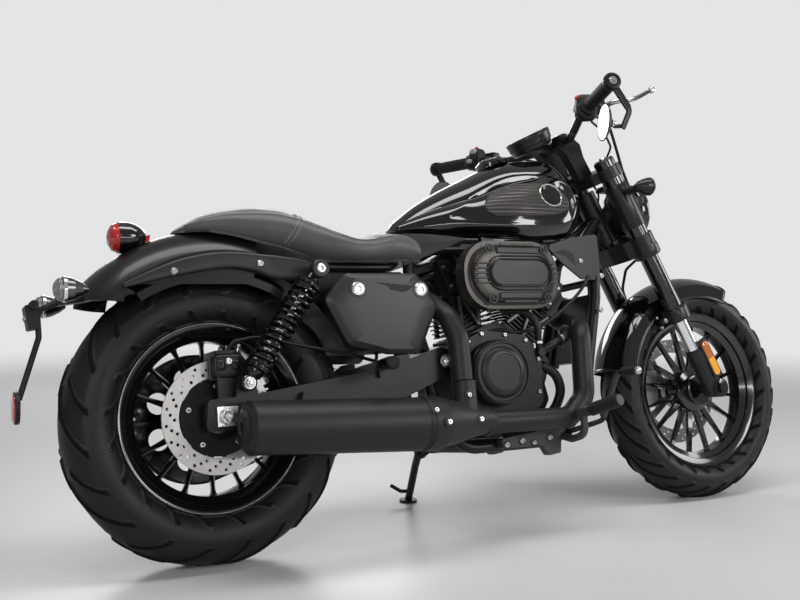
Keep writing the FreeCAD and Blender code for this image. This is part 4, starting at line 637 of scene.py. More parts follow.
engine_enamel = finish("engine_enamel", (0.008, 0.008, 0.008), 0.36, spread=0.10, blotch=30.0, grain=500.0,
                       depth=0.05)
machined_edge = finish("machined_edge", (0.12, 0.115, 0.11), 0.36, metallic=1.0, spread=0.10, blotch=70.0)
cover_enamel = finish("cover_enamel", (0.018, 0.0175, 0.017), 0.34, spread=0.06, blotch=18.0, grain=700.0,
                      depth=0.04)
dress(["engine_case", "cylinders", "cylinder_heads", "engine_covers", "rear_caliper"], engine_enamel)

CRANK = (720.0, 375.0)
BANKS = {"rear": -22.0, "front": 40.0}
DECK, CYLINDER_TOP, COVER_TOP = 118.0, 222.0, 322.0


def on_bank(bank, along, across, y):
    """Point at a distance along a cylinder's axis and ahead across it."""
    angle = math.radians(bank)
    return (CRANK[0] + along * math.sin(angle) + across * math.cos(angle), y,
            CRANK[1] + along * math.cos(angle) - across * math.sin(angle))


def bar(start, end, width, low_y, high_y, chamfer=1.5):
    """Straight flat bar between two (x, z) places, from one y to another, its outer edges chamfered."""
    start, end = np.asarray(start, float), np.asarray(end, float)
    way = (end - start) / np.linalg.norm(end - start)
    across = np.array([-way[1], way[0]]) * width / 2
    corners = np.array([start - across, end - across, end + across, start + across])
    middle = corners.mean(0)
    step = math.copysign(chamfer, high_y - low_y)
    axes = np.array([way, across / (width / 2)])
    inset = chamfer * np.sign((corners - middle) @ axes.T) @ axes
    rings = [(low_y, 0), (high_y - step, 0), (high_y, 1)]
    return capped(np.array([[(x, y, z) for x, z in corners - share * inset] for y, share in rings]))


braces, brace_faces = [], []
for bank in BANKS.values():
    for side in SIDES:
        base = side * 58.0
        zig = [(DECK + 6, -46), (CYLINDER_TOP - 10, -12), (DECK + 8, 8), (CYLINDER_TOP - 8, 46)]
        spots = [on_bank(bank, along, across, 0)[::2] for along, across in zig]
        for low, high in zip(spots, spots[1:]):
            braces.append(bar(low, high, 12, base, base + side * 8))
            brace_faces.append(bar(low, high, 4.0, base + side * 7.5, base + side * 8.6, 0.3))
        for across in (-26, 26):
            ends = [on_bank(bank, along, across, 0)[::2] for along in (CYLINDER_TOP + 4, COVER_TOP - 8)]
            braces.append(bar(ends[0], ends[1], 20, side * 50, side * 70, 3.0))
            frame_bolts += [socket_bolt(on_bank(bank, along, across, side * 70), (0, side, 0), 5.0, 3.5)
                            for along in (CYLINDER_TOP + 22, COVER_TOP - 28)]
piece("cylinder_braces", braces, "frame", engine_enamel)
piece("cylinder_brace_edges", brace_faces, "frame", machined_edge)

# Clutch cover: a round cap with three raised rings, a dished band and a plain centre disc.
CLUTCH = (672.0, -137.0, 371.0)
clutch_steps = [(14, 79), (22, 79), (26, 77), (31, 74), (31, 70), (27, 68), (27, 62), (33, 58), (37, 50),
                (37.5, 44), (36.2, 43), (36.2, 8)]
piece("clutch_cap", [lathe(clutch_steps, CLUTCH, RIGHT, 96)], "frame", cover_enamel)
clutch_rings = [hollow_lathe([(25, low), (high, low), (high, top), (25, top)], CLUTCH, RIGHT, 96)
                for low, top, high in ((70.4, 73.2, 31.8), (61.2, 62.4, 27.9), (76.6, 77.6, 26.9))]
piece("clutch_rings", clutch_rings, "frame", engine_enamel)

COVER_BOLTS = ((600, 448), (640, 466), (706, 462), (766, 448), (800, 400), (796, 320), (740, 262),
               (668, 258), (610, 268), (598, 316))
cover_bolts = [socket_bolt((x, -131, z), RIGHT, 6.0, 5.0) for x, z in COVER_BOLTS]
cover_bolts += [socket_bolt(place, LEFT, 5.5, 5.0) for place in wheel_circle(752, 372, 124.6, 88, 8, 12)]
fasteners("engine_cover_bolts", cover_bolts)

# Water pump ahead of the clutch cover, its outlet elbow and the two moulded hoses that leave it.
hose_rubber = finish("hose_rubber", (0.009, 0.009, 0.009), 0.48, spread=0.10, grain=1200.0, depth=0.04)


def route(points, count=60):
    """Smooth path through the points: a Catmull-Rom curve, worked out span by span."""
    pts = np.asarray(points, float)
    padded = np.concatenate([2 * pts[:1] - pts[1:2], pts, 2 * pts[-1:] - pts[-2:-1]])
    t = np.linspace(0, len(pts) - 1, count)
    span = np.minimum(t.astype(int), len(pts) - 2)
    u = (t - span)[:, None]
    a, b, c, d = (padded[span + k] for k in range(4))
    return 0.5 * (2 * b + (c - a) * u + (2 * a - 5 * b + 4 * c - d) * u ** 2
                  + (3 * b - a - 3 * c + d) * u ** 3)


pump = [lathe([(0, 30), (12, 30), (18, 26), (30, 24), (34, 20)], (824, -80, 392), RIGHT, 40),
        lathe([(0, 13), (26, 13), (30, 11)], (808, -112, 416), RIGHT, 28),
        carried(route([(808, -128, 416), (826, -132, 426), (852, -134, 438), (872, -128, 446)]), 11, 16)]
piece("water_pump", pump, "frame", engine_enamel)
# each hose's path, the points on it, its radius and its sides
HOSE_RUNS = (
    (((806, -132, 420), (802, -138, 448), (800, -140, 478), (786, -134, 506), (756, -118, 522),
      (728, -96, 520)), 50, 8.5, 16),
    (((868, -128, 444), (890, -124, 452), (906, -110, 462), (930, -84, 476)), 40, 14, 18),
    (((822, -112, 386), (858, -118, 360), (872, -116, 322), (866, -104, 286), (852, -92, 262)), 50, 12, 18),
    (((676, -84, 470), (712, -96, 478), (760, -104, 470), (830, -108, 480), (900, -112, 520),
      (960, -114, 566), (1000, -112, 610)), 70, 4.2, 12))
hoses = [carried(route(run, count), radius, steps) for run, count, radius, steps in HOSE_RUNS]
piece("engine_hoses", hoses, "frame", hose_rubber)
clips = [hollow_lathe([(-4, 13.6), (-4, 16), (4, 16), (4, 13.6)], place, along, 28)
         for place, along in (((874, -127, 446), (1, 0.2, 0.3)), ((920, -94, 470), (0.7, 0.8, 0.4)))]
clips.append(hollow_lathe([(-3, 8.3), (-3, 10.4), (3, 10.4), (3, 8.3)], (803, -137, 440), (0, 0, 1), 24))
fasteners("hose_clips", clips)

# Spark plug caps and their leads, one on each head's right face.
plug_caps = []
for bank in BANKS.values():
    place = np.array(on_bank(bank, 262, 0, -60))
    plug_caps.append(lathe([(0, 11), (18, 11), (20, 8), (44, 7.5), (46, 5)], place, (0, -0.9, 0.42), 20))
    tip = place + np.array([0, -38, 18])
    lead = route([tip, tip + (6, -8, 14), tip + (20, 2, 34), tip + (34, 40, 44)], 40)
    plug_caps.append(carried(lead, 3.6, 10))
piece("spark_plug_caps", plug_caps, "frame", hose_rubber)

# ------------------------------------------------------------------ air cleaner and radiator
# Round-ended air cleaner cover of black enamelled alloy: a deep shoulder, a flat lid ribbed at both
# ends, and two raised beads round a plain badge plate. The radiator hangs ahead of the engine.

case_enamel = finish("case_enamel", (0.034, 0.031, 0.027), 0.27, metallic=0.45, spread=0.06, grain=700.0,
                     depth=0.03)
dress(["air_cleaner"], case_enamel)
dress(["radiator"], powder_coat)
FILTER_X, FILTER_Z, FILTER_R, FILTER_RUN = 706.5, 600.5, 81.5, 53.0
PLATE_X, PLATE_Z, PLATE_RUN = 719.0, 603.0, 52.0
LID_Y = -198.5


def stadium(x, z, run, radius, y, count=96):
    """Ring round a slot shape: a circle cut in half and pulled apart by run to each side."""
    angle = 2 * math.pi * (np.arange(count) + 0.5) / count
    return round_axle(x + np.sign(np.cos(angle)) * run, z, radius, angle, y)


SHOULDER = ((0.7, -149), (0.7, -170), (-0.5, -177), (-4, -183), (-9, -187.2), (-13, -189), (-15, -189.4),
            (-16.4, -195.6), (-18.5, -198.2), (-22, -199.4), (-36, -199.8), (-60, -200.2))
shell = [stadium(FILTER_X, FILTER_Z, FILTER_RUN, FILTER_R + grow, y) for grow, y in SHOULDER]
piece("air_cleaner_cover", [capped(np.array(shell))], "frame", case_enamel)


def slot_bead(low, high, top):
    """Raised bead round the badge plate, between two radii and up to a y value."""
    mid = (low + high) / 2
    rows = [(low, LID_Y), (high, LID_Y), (high, top + 1.5), (mid, top), (low, top + 1.5)]
    grid = np.array([stadium(PLATE_X, PLATE_Z, PLATE_RUN, radius, y) for radius, y in rows])
    return grid.reshape(-1, 3), grid_faces(*grid.shape[:2], wrap_rows=True)


plate_rings = [slot_bead(31.5, 34.5, -206.0), slot_bead(38.5, 43.0, -204.5)]
plate_face = capped(np.array([stadium(PLATE_X, PLATE_Z, PLATE_RUN, radius, y)
                              for radius, y in ((29.4, -199), (29.4, -203.4), (28.4, -204.2), (8, -204.4))]))
piece("air_cleaner_beads", plate_rings + [plate_face], "frame", cover_enamel)
ribs = []
for k in range(5):
    z = PLATE_Z + (k - 2) * 11.5
    reach = 43.5 * math.sqrt(1 - ((k - 2) * 11.5 / 43.5) ** 2)
    for way, far in ((-1, 44), (1, 26)):
        start = PLATE_X + way * (PLATE_RUN + reach - 2)
        end = start + way * (far - 6 - abs(k - 2) * 1.5)
        ribs.append(bar((start, z), (end, z), 5.0, LID_Y, -203.2, 0.8))
for rise in (-54, 54):
    for back, fore, off, *sizes in ((62, 58, rise, 15.0, LID_Y, -203.6, 2.0),
                                    (50, 46, rise * 1.26, 6.0, -196.5, -201.0, 1.0)):
        ribs.append(bar((PLATE_X - back, PLATE_Z + off), (PLATE_X + fore, PLATE_Z + off), *sizes))
piece("air_cleaner_ribs", ribs, "frame", cover_enamel)
FILTER_BOLTS = ((637, 661), (796, 661), (637, 542), (796, 542))
wells = [hollow_lathe([(0, 8.5), (0, 12.5), (2.6, 11.8), (2.6, 8.5)], (x, -198.6, z), RIGHT, 28)
         for x, z in FILTER_BOLTS]
piece("air_cleaner_wells", wells, "frame", powder_coat)
piece("air_cleaner_bolts", [socket_bolt((x, -199, z), RIGHT, 6.2, 4.0) for x, z in FILTER_BOLTS],
      "frame", powder_coat)

CORE_TOP, CORE_FOOT = np.array([1058.0, 566.0]), np.array([1006.0, 388.0])
slats = []
for share in np.linspace(0.02, 0.98, 44):
    x, z = CORE_TOP + (CORE_FOOT - CORE_TOP) * share
    slats.append(carried([(x + 0.6, -62, z), (x + 0.6, 62, z)], 1.7, 4))
for y in np.linspace(-56, 56, 15):
    ends = [(CORE_TOP[0] + 1.6, y, CORE_TOP[1] - 2), (CORE_FOOT[0] + 1.6, y, CORE_FOOT[1] + 2)]
    slats.append(carried(ends, 1.5, 4))
fin_alloy = finish("fin_alloy", (0.10, 0.10, 0.10), 0.45, metallic=0.7)
piece("radiator_fins", slats, "frame", fin_alloy)

# ------------------------------------------------------------------ exhaust
# Two header pipes under matte heat-proof black, sleeved by shields, that meet in a collector ahead of
# a plain round silencer. Bright button bolts hold the shields; a bead rolls the silencer's end over.

pipe_black = finish("pipe_black", (0.015, 0.014, 0.0145), 0.42, spread=0.05, blotch=14.0, grain=1400.0,
                    depth=0.05)
# Dull black lining inside the silencer's outlet, a little darker than the pipe.
outlet_black = finish("outlet_black", (0.010, 0.009, 0.009), 0.85)
dress(["exhaust_pipes", "muffler"], pipe_black)


def bent(points, radius, per_bend):
    """Path with straight runs and an arc of one radius at each corner."""
    pts = [np.asarray(point, float) for point in points]
    path = [pts[0]]
    for before, corner, after in zip(pts, pts[1:], pts[2:]):
        back, ahead = before - corner, after - corner
        back_long, ahead_long = np.linalg.norm(back), np.linalg.norm(ahead)
        back, ahead = back / back_long, ahead / ahead_long
        half = math.acos(np.clip(np.dot(back, ahead), -1, 1)) / 2
        cut = min(radius / math.tan(half), 0.49 * back_long, 0.49 * ahead_long)
        size = cut * math.tan(half)
        middle = back + ahead
        centre = corner + middle / np.linalg.norm(middle) * size / math.sin(half)
        first, last = corner + back * cut - centre, corner + ahead * cut - centre
        sweep = math.pi - 2 * half
        for share in np.linspace(0, 1, per_bend):
            path.append(centre + (math.sin((1 - share) * sweep) * first + math.sin(share * sweep) * last)
                        / math.sin(sweep))
    path.append(pts[-1])
    return np.array(path)


def port(bank, way, out):
    """Point on a header's first run, square to its head's port; way is 1 ahead, -1 behind."""
    return on_bank(bank, 251.0, way * (68.0 + out), -20.0)


front_run = bent([port(BANKS["front"], 1, 14), port(BANKS["front"], 1, 36), (966, -92, 478),
                  (922, -152, 462), (906, -165, 300), (850, -170, 252), (604, -176, 256)], 55.0, 12)
rear_run = bent([port(BANKS["rear"], -1, 14), port(BANKS["rear"], -1, 36), (530, -88, 546), (544, -145, 505),
                 (552, -168, 455), (550, -174, 352)], 50.0, 12)


def sleeved(path, radius):
    """Header shield: a pipe whose ends turn in to the pipe beneath."""
    sizes = np.full(len(path), float(radius))
    path = np.concatenate([path[:1], path[:1] + (path[1] - path[0]) * 0.05, path[1:-1],
                           path[-1:] + (path[-2] - path[-1]) * 0.05, path[-1:]])
    sizes = np.concatenate([[radius - 3.0], [radius], sizes[1:-1], [radius], [radius - 3.0]])
    return carried(path, sizes, 36)


piece("header_shields", [sleeved(front_run[12:], 26.0), sleeved(rear_run[10:], 25.5)], "frame",
      pipe_black)
MUFFLER_TAIL = np.array([16.0, -200.0, 284.0])
MUFFLER_WAY = np.array([1, 0, -0.047]) / math.hypot(1, 0.047)
junction = MUFFLER_TAIL + MUFFLER_WAY * 405
COLLECTOR_WAY = (1, 0.13, -0.02)
collector = [lathe([(0, 55), (6, 60.2), (20, 60.6), (46, 60), (50, 56), (78, 52), (150, 37), (176, 31),
                    (196, 29.5), (197, 26)], junction - MUFFLER_WAY * 4, COLLECTOR_WAY, 64)]
saddle = carried([(552, -176, 352), (551, -178, 318), (546, -184, 290), (534, -188, 270)],
                 [28.4, 28.6, 32, 30], 40)
saddle_lip = hollow_lathe([(-2, 25), (-2, 29.2), (2, 29.2), (2, 25)], (552, -176, 350), (0, 0.1, 1), 40)
piece("exhaust_collector", collector + [saddle, saddle_lip], "frame", pipe_black)
collar = hollow_lathe([(-6, 25), (-6, 30.2), (-3, 31), (4, 31), (5, 29), (5, 25)], (604, -176, 256),
                      (1, 0.03, 0), 48)
seams = [hollow_lathe([(s, 50), (s, top), (s + 3, top), (s + 3, 50)], MUFFLER_TAIL, MUFFLER_WAY, 72)
         for s, top in ((402, 60.8), (398, 59.8))]
end_cap = hollow_lathe([(8, 13.5), (-5, 13.5), (-8, 15), (-8.4, 17.5), (-7, 20), (-4.5, 22), (-4, 30),
                        (-2, 40), (2.6, 49), (8.2, 55.2), (9.6, 55.8), (9.6, 40), (8, 25)], MUFFLER_TAIL,
                       MUFFLER_WAY, 72)
piece("exhaust_rings", [collar, end_cap] + seams, "frame", pipe_black)
piece("muffler_throat", [lathe([(6, 24.2), (58, 24.2)], MUFFLER_TAIL, MUFFLER_WAY, 40)], "frame",
      outlet_black)
shield_bolts = [((457, -259.6, 266), (0, -1, 0.1)), ((563, -222.5, 266), (0, -1, 0.1)),
                ((545, -207, 322), (-0.1, -1, 0)), ((432, -250, 292), (0, -0.8, 0.6))]
fasteners("exhaust_bolts", [socket_bolt(place, along, 6.5, 5.5) for place, along in shield_bolts])
washers = [lathe([(-1.5, 11), (0.6, 11), (1.0, 9)], place, along, 28) for place, along in shield_bolts]
piece("exhaust_washers", washers, "frame", pipe_black)
frame_bolts += [socket_bolt((168, -139.4, z), RIGHT, 6.0, 4.5) for z in (318, 246)]

# ------------------------------------------------------------------ fuel tank
# Teardrop tank pressed from steel under deep gloss black paint. A sharp crease sweeps down each side
# from a shallow recess; in it lie a ribbed pear-shaped panel and a round plain badge in a bright ring.

tank_paint = finish("tank_paint", (0.002, 0.002, 0.002), 0.12, coat=0.8, spread=0.03, blotch=6.0,
                    grain=300.0, depth=0.004, shine=0.3)
panel_bronze = finish("panel_bronze", (0.060, 0.056, 0.052), 0.34, metallic=0.5, spread=0.06, blotch=8.0)
badge_chrome = finish("badge_chrome", (0.74, 0.74, 0.74), 0.16, metallic=1.0)
# x, bottom z, z of the widest point, z of the crown's edge, top z, half widths at the same three
TANK_SECTIONS = np.array(((484, 727, 735, 744, 752, 22, 32, 24),
                          (560, 716, 742, 775, 806, 52, 70, 48),
                          (680, 708, 752, 812, 868, 84, 112, 72),
                          (830, 706, 775, 864, 928, 104, 143, 86),
                          (940, 712, 792, 878, 938, 96, 140, 84),
                          (1006, 742, 810, 866, 900, 62, 96, 60)), float)


def eased(sections, x):
    """Section sizes at any x: a cubic through the stations whose slopes never overshoot."""
    at = sections[:, 0]
    step = np.diff(at)
    slope = np.diff(sections[:, 1:], axis=0) / step[:, None]
    lean = np.zeros_like(sections[:, 1:])
    product, total = slope[:-1] * slope[1:], slope[:-1] + slope[1:]
    lean[1:-1] = np.where(product > 0, 2 * product / np.where(total == 0, 1, total), 0)
    lean[0], lean[-1] = slope[0], slope[-1]
    k = np.clip(np.searchsorted(at, x, side="right") - 1, 0, len(step) - 1)
    u = ((x - at[k]) / step[k])[:, None]
    h = step[k][:, None]
    low, high = sections[k, 1:], sections[k + 1, 1:]
    return ((1 + 2 * u) * (1 - u) ** 2 * low + u * (1 - u) ** 2 * h * lean[k]
            + u * u * (3 - 2 * u) * high + u * u * (u - 1) * h * lean[k + 1])


def squared(value, power):
    """Power that keeps the sign: it squares off a sine or cosine the more, the smaller the power."""
    return np.sign(value) * np.abs(value) ** power


def shell_ring(sizes, across, side, crown):
    """Ring of (y, z) points: a flat bottom, a bulging side arc, a crowned top arc and the other side."""
    low, wide, edge, top, half_low, half_wide, half_edge = sizes
    flank = bow((half_low, low), (half_wide, wide), (half_edge, edge), side)
    roof = bow((half_edge, edge), (0, top), (-half_edge, edge), crown)[1:-1]
    floor = np.stack([np.linspace(-half_low, half_low, across + 2)[1:-1], np.full(across, low)], -1)
    return np.concatenate([floor, flank, roof, (flank * (-1, 1))[::-1]])


def rounded_ends(count, low, high, pull):
    """Places along a shell, crowded at its ends, with the share of full size that closes each end."""
    share = (1 - np.cos(np.linspace(0, math.pi, count))) / 2
    x = low + (high - low) * share
    gap = np.minimum(x - low, high - x)
    return x, np.sqrt(np.clip(1 - np.clip(1 - gap / pull, 0, 1) ** 2, 0.0004, 1))


def closed_route(points, count):
    """Smooth closed curve through the points."""
    pts = np.asarray(points, float)
    around = np.concatenate([pts[-2:], pts, pts[:2]])
    t = np.linspace(2, len(pts) + 2, count, endpoint=False)
    return route(around, count=(len(around) - 1) * 40 + 1)[np.round(t * 40).astype(int)]


def inside_by(outline, x, z):
    """Distance of places (x, z) from a closed outline, positive inside it."""
    first, last = outline, np.roll(outline, -1, 0)
    along = last - first
    place = np.stack([x, z], -1)[..., None, :]
    share = np.clip(((place - first) * along).sum(-1) / (along ** 2).sum(-1), 0, 1)
    gap = np.linalg.norm(place - first - share[..., None] * along, axis=-1).min(-1)
    level = z[..., None]
    rise = np.where(along[:, 1] == 0, 1e-9, along[:, 1])
    meets = x[..., None] < first[:, 0] + (level - first[:, 1]) * along[:, 0] / rise
    crossings = (((first[:, 1] > level) != (last[:, 1] > level)) & meets).sum(-1)
    return np.where(crossings % 2 == 1, gap, -gap)


RECESS_DEEP = 10.0
RECESS_OUTLINE = closed_route([(606, 756), (640, 784), (686, 820), (760, 860), (830, 877), (890, 875),
                               (940, 855), (966, 815), (962, 772), (930, 747), (870, 738), (780, 736),
                               (690, 742)], 90)


def recess(x, z):
    """Share, 0 to 1, of the pear-shaped recess in the tank's side: a crease, then a long easy slope."""
    inside = 2.0 * np.logaddexp(0, inside_by(RECESS_OUTLINE, x, z) / 2.0)
    return 1 - np.exp(-inside / 11.0)


tank_x, tank_full = rounded_ends(250, 482.0, 1012.0, 9.0)
tank_grid = []
for x, full, sizes in zip(tank_x, tank_full, eased(TANK_SECTIONS, tank_x)):
    ring = shell_ring(sizes, 12, 84, 50)
    y, z = ring.T
    middle = (z.min() + z.max()) / 2
    y = y - np.sign(y) * RECESS_DEEP * recess(np.full(len(z), x), z) * np.clip((np.abs(y) - 30) / 20, 0, 1)
    tank_grid.append(np.stack([np.full(len(y), x), y * full, middle + (z - middle) * full], -1))
tank = piece("fuel_tank_skin", [capped(np.array(tank_grid))], "frame", tank_paint, 48.0)
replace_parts(tank, "fuel_tank")


def tank_side(x, z):
    """Half width of the recessed tank side at places (x, z)."""
    x, z = np.broadcast_arrays(np.asarray(x, float), np.asarray(z, float))
    wide = np.empty(x.shape)
    for index, sizes in zip(np.ndindex(x.shape), eased(TANK_SECTIONS, x.ravel())):
        low, mid, edge, _, half_low, half_wide, half_edge = sizes
        flank = bow((half_low, low), (half_wide, mid), (half_edge, edge), 40)
        wide[index] = np.interp(z[index], flank[:, 1], flank[:, 0])
    return wide - RECESS_DEEP * recess(x, z)


PANEL_LEFT = ((726, 757), (707, 767), (700, 784), (708, 802), (731, 824), (795, 846), (862, 853))
PANEL_RIGHT = ((730, 757), (810, 759), (880, 764), (918, 772), (936, 784), (941, 798), (934, 816),
               (912, 838), (866, 853))


def panel_grid(side, count=80):
    """Pear-shaped panel on the tank: level ribs stand out of a sheet that follows the recess."""
    z = np.linspace(757, 853, 93)
    left, right = (np.interp(z, *route(chain, 200).T[::-1]) for chain in (PANEL_LEFT, PANEL_RIGHT))
    xs = left[:, None] + (right - left)[:, None] * (1 - np.cos(np.linspace(0, math.pi, count))) / 2
    zs = np.broadcast_to(z[:, None], xs.shape)
    rib = np.clip(np.abs(((zs - 757) / 10.5) % 1.0 - 0.5) * 5.0 - 0.35, 0, 1)
    rim = np.minimum(np.minimum(xs - left[:, None], right[:, None] - xs), np.minimum(zs - 757, 853 - zs))
    lift = np.clip(rim / 3.0, 0, 1) * (1.8 + 2.2 * rib)
    wide = tank_side(xs, zs)
    top = np.stack([xs, side * (wide + lift), zs], -1)
    under = np.stack([xs, side * (wide - 3.0), zs], -1)
    return capped(np.concatenate([top, under[:, ::-1]], 1))


tank_panel = piece("tank_side_panels", [panel_grid(side) for side in SIDES], "frame",
                   panel_bronze, sharp=60.0)
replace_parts(tank_panel, "tank_panels")
BADGE = (884.0, 814.0)
badge_rings, badge_discs = [], []
for side in SIDES:
    wide = tank_side(np.array([BADGE[0] - 20, BADGE[0] + 20, BADGE[0], BADGE[0]]),
                     np.array([BADGE[1], BADGE[1], BADGE[1] - 20, BADGE[1] + 20]))
    out = (-(wide[1] - wide[0]) / 40, side, -(wide[3] - wide[2]) / 40)
    base = (BADGE[0], side * (wide.mean() + 1.0), BADGE[1])
    badge_rings.append(hollow_lathe([(-2, 29.6), (-2, 33.4), (6.4, 33.2), (7.4, 32), (7.4, 30.6),
                                     (6, 29.6)], base, out, 72))
    badge_discs.append(lathe([(-2, 29.8), (5.4, 29.8), (6.2, 26), (6.4, 8)], base, out, 72))
piece("tank_badge_rings", badge_rings, "frame", badge_chrome)
piece("tank_badge_discs", badge_discs, "frame", tank_paint)

CAP_AT, CAP_WAY = (800, 0, 922), (-0.24, 0, 1)
dress(["fuel_cap"], tank_paint)
cap_rim = hollow_lathe([(-4, 40.3), (-4, 44), (5, 43.4), (7.4, 41), (7.4, 38), (6, 37.6)],
                       CAP_AT, CAP_WAY, 72)
cap_lid = lathe([(12, 33), (15.4, 31), (16.4, 28), (16.6, 6)], CAP_AT, CAP_WAY, 64)
piece("fuel_cap_ring", [cap_rim], "frame", tank_paint)
piece("fuel_cap_lid", [cap_lid], "frame", case_enamel)
cap_bolts = []
axis, first, second = ring_frame(CAP_WAY)
for k in range(6):
    angle = k * math.pi / 3 + 0.3
    place = np.array(CAP_AT) + axis * 5.5 + 36.8 * (math.cos(angle) * first + math.sin(angle) * second)
    cap_bolts.append(socket_bolt(place, axis, 2.6, 2.4))
piece("fuel_cap_bolts", cap_bolts, "frame", powder_coat)

# ------------------------------------------------------------------ seat
# One-piece solo seat: soft black leather drawn tight over moulded foam, raised behind the rider. A
# strap with two rows of pale stitches crosses the hump; a stitched seam runs down each side.

thread = finish("thread", (0.34, 0.33, 0.33), 0.75, grain=2600.0)


def leather_skin(name, colour):
    """Leather: a fine pebble of small cells, over broad soft changes of tone and shine."""
    material = finish(name, colour, 0.44, spread=0.06, blotch=9.0, mottle=0.16, shine=0.5)
    bumped(material, texture(material, "Voronoi", 620.0).outputs["Distance"], 0.35, 0.0003)
    set_inputs(material.node_tree.nodes["Principled BSDF"], {"Sheen Weight": 0.25, "Sheen Roughness": 0.4})
    return material


seat_leather = leather_skin("seat_leather", (0.050, 0.047, 0.053))
# x, z of the bottom's sides and middle, of the widest point, of the crown's edge and of the top,
# then the half widths at bottom, widest point and edge
SEAT_SECTIONS = np.array(((-58, 712, 718, 714, 719, 726, 40, 46, 34),
                          (0, 708, 727, 720, 740, 756, 76, 86, 62),
                          (54, 698, 727, 715, 752, 769, 84, 98, 70),
                          (118, 682, 722, 702, 755, 777, 88, 110, 78),
                          (160, 672, 700, 697, 752, 776, 92, 118, 84),
                          (200, 658, 668, 688, 742, 769, 94, 127, 92),
                          (244, 643, 644, 674, 724, 751, 100, 136, 100),
                          (285, 643, 644, 666, 704, 725, 106, 144, 110),
                          (335, 643, 644, 664, 688, 702, 110, 149, 116),
                          (371, 643, 644, 664, 690, 705, 110, 147, 114),
                          (420, 643, 644, 669, 705, 723, 108, 138, 102),
                          (462, 643, 644, 676, 708, 722, 106, 126, 88),
                          (496, 643, 644, 674, 697, 706, 102, 116, 80),
                          (514, 645, 646, 660, 674, 682, 96, 104, 72)), float)
STRAP, SLANT, STRAP_TOP = (207.0, 231.0), 0.667, 761.0
seat_x, seat_full = rounded_ends(200, -61.0, 517.0, 14.0)
seat_grid = []
for x, full, sizes in zip(seat_x, seat_full, eased(SEAT_SECTIONS, seat_x)):
    low, arch = sizes[0], sizes[1]
    y, z = shell_ring(sizes[[0, 2, 3, 4, 5, 6, 7]], 12, 30, 46).T
    under = np.arange(len(y)) < 12
    z = np.where(under, low + (arch - low) * np.clip(1 - (y / sizes[5]) ** 2, 0, 1), z)
    middle = (z.max() + sizes[2]) / 2
    over = x - SLANT * (z - STRAP_TOP)
    hug = sum(pull * np.clip(1 - abs(over - edge) / 3.5, 0, 1) for pull, edge in zip((1.6, 1.0), STRAP))
    lift = 1.4 * np.clip(np.minimum(over - STRAP[0], STRAP[1] - over) / 3.0, 0, 1)
    # the foam swells the cushion a little, from the strap to the nose and again towards the tail
    foam = sum(swell * math.sin(math.pi * np.clip((x - start) / run, 0, 1))
               for swell, start, run in ((3.0, STRAP[1], 260), (2.0, -50, 240)))
    length = np.hypot(y, z - middle)
    grow = 1 + (lift - hug + foam * np.clip((z - sizes[2]) / 20, 0, 1)) / length
    y, z = y * full * grow, middle + (z - middle) * full * grow
    seat_grid.append(np.stack([np.full(len(y), x), y, z], -1))
seat_grid = np.array(seat_grid)
seat = piece("seat_cushion", [capped(seat_grid)], "frame", seat_leather, sharp=50.0)
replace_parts(seat, "seat")


def on_seat(x, turn):
    """Point of the cushion's skin at a place along it and a share, 0 to 1, round its ring."""
    row = np.interp(x, seat_x, np.arange(len(seat_x)))
    col = turn * (seat_grid.shape[1] - 1)
    i, j = int(row), int(col)
    i, j = min(i, len(seat_x) - 2), min(j, seat_grid.shape[1] - 2)
    u, v = row - i, col - j
    return ((1 - u) * (1 - v) * seat_grid[i, j] + u * (1 - v) * seat_grid[i + 1, j]
            + (1 - u) * v * seat_grid[i, j + 1] + u * v * seat_grid[i + 1, j + 1])


def stitches(path, length, gap, radius):
    """Row of short thread ends laid along a path, each sunk at both ends."""
    steps = np.linalg.norm(np.diff(path, axis=0), axis=1)
    run = np.concatenate([[0], np.cumsum(steps)])
    rows = []
    for start in np.arange(0, run[-1] - length, length + gap):
        at = np.linspace(start, start + length, 5)
        points = np.stack([np.interp(at, run, path[:, k]) for k in range(3)], -1)
        rows.append(carried(points, radius * np.array([0.35, 0.9, 1.0, 0.9, 0.35]), 6))
    return rows


RING = seat_grid.shape[1]
FLANK_FROM, FLANK_TO = 12 / (RING - 1), 41 / (RING - 1)
strap_rows = []
for level in (213.0, 225.0):
    path = []
    for turn in np.linspace(FLANK_FROM + 0.02, 1 - 0.03, 160):
        x = level
        for _ in range(6):
            x = 0.5 * x + 0.5 * (level + SLANT * (on_seat(x, turn)[2] - STRAP_TOP))
        path.append(on_seat(x, turn))
    path = np.array(path)
    out = path * (0, 1, 1) - (0, 0, 690.0)
    strap_rows += stitches(path + 0.9 * out / np.linalg.norm(out, axis=1)[:, None], 4.2, 1.8, 0.8)
seam_rows, seam_lines = [], []
for side in SIDES:
    path = []
    for share in np.linspace(0, 1, 120):
        wave = (-0.05 + 0.02 * math.sin(share * 7)) * math.sin(math.pi * min(share * 1.1, 1))
        climb = FLANK_TO + wave + 0.11 * share ** 5
        path.append(on_seat(207 + 262 * share, climb if side > 0 else 1 + 12 / (RING - 1) - climb))
    path = np.array(path)
    rise = path * (0, 1, 1) - (0, 0, 660.0)
    rise /= np.linalg.norm(rise, axis=1)[:, None]
    seam_lines.append(carried(path + rise * 0.1 + (0, 0, 0.6), 1.1, 8))
    seam_rows += stitches(path + rise * 0.5 - (0, side * 1.5, 2.2), 4.6, 2.0, 0.75)
piece("seat_stitches", strap_rows + seam_rows, "frame", thread)
piece("seat_seams", seam_lines, "frame", seat_leather)
edges = [[(row[0], side * (row[6] + 5), row[1] + 2) for row in SEAT_SECTIONS[1:-1]] for side in SIDES]
welt = [carried(route(edge, 90), 3.2, 10) for edge in edges]
piece("seat_welt", welt, "frame", seat_leather)

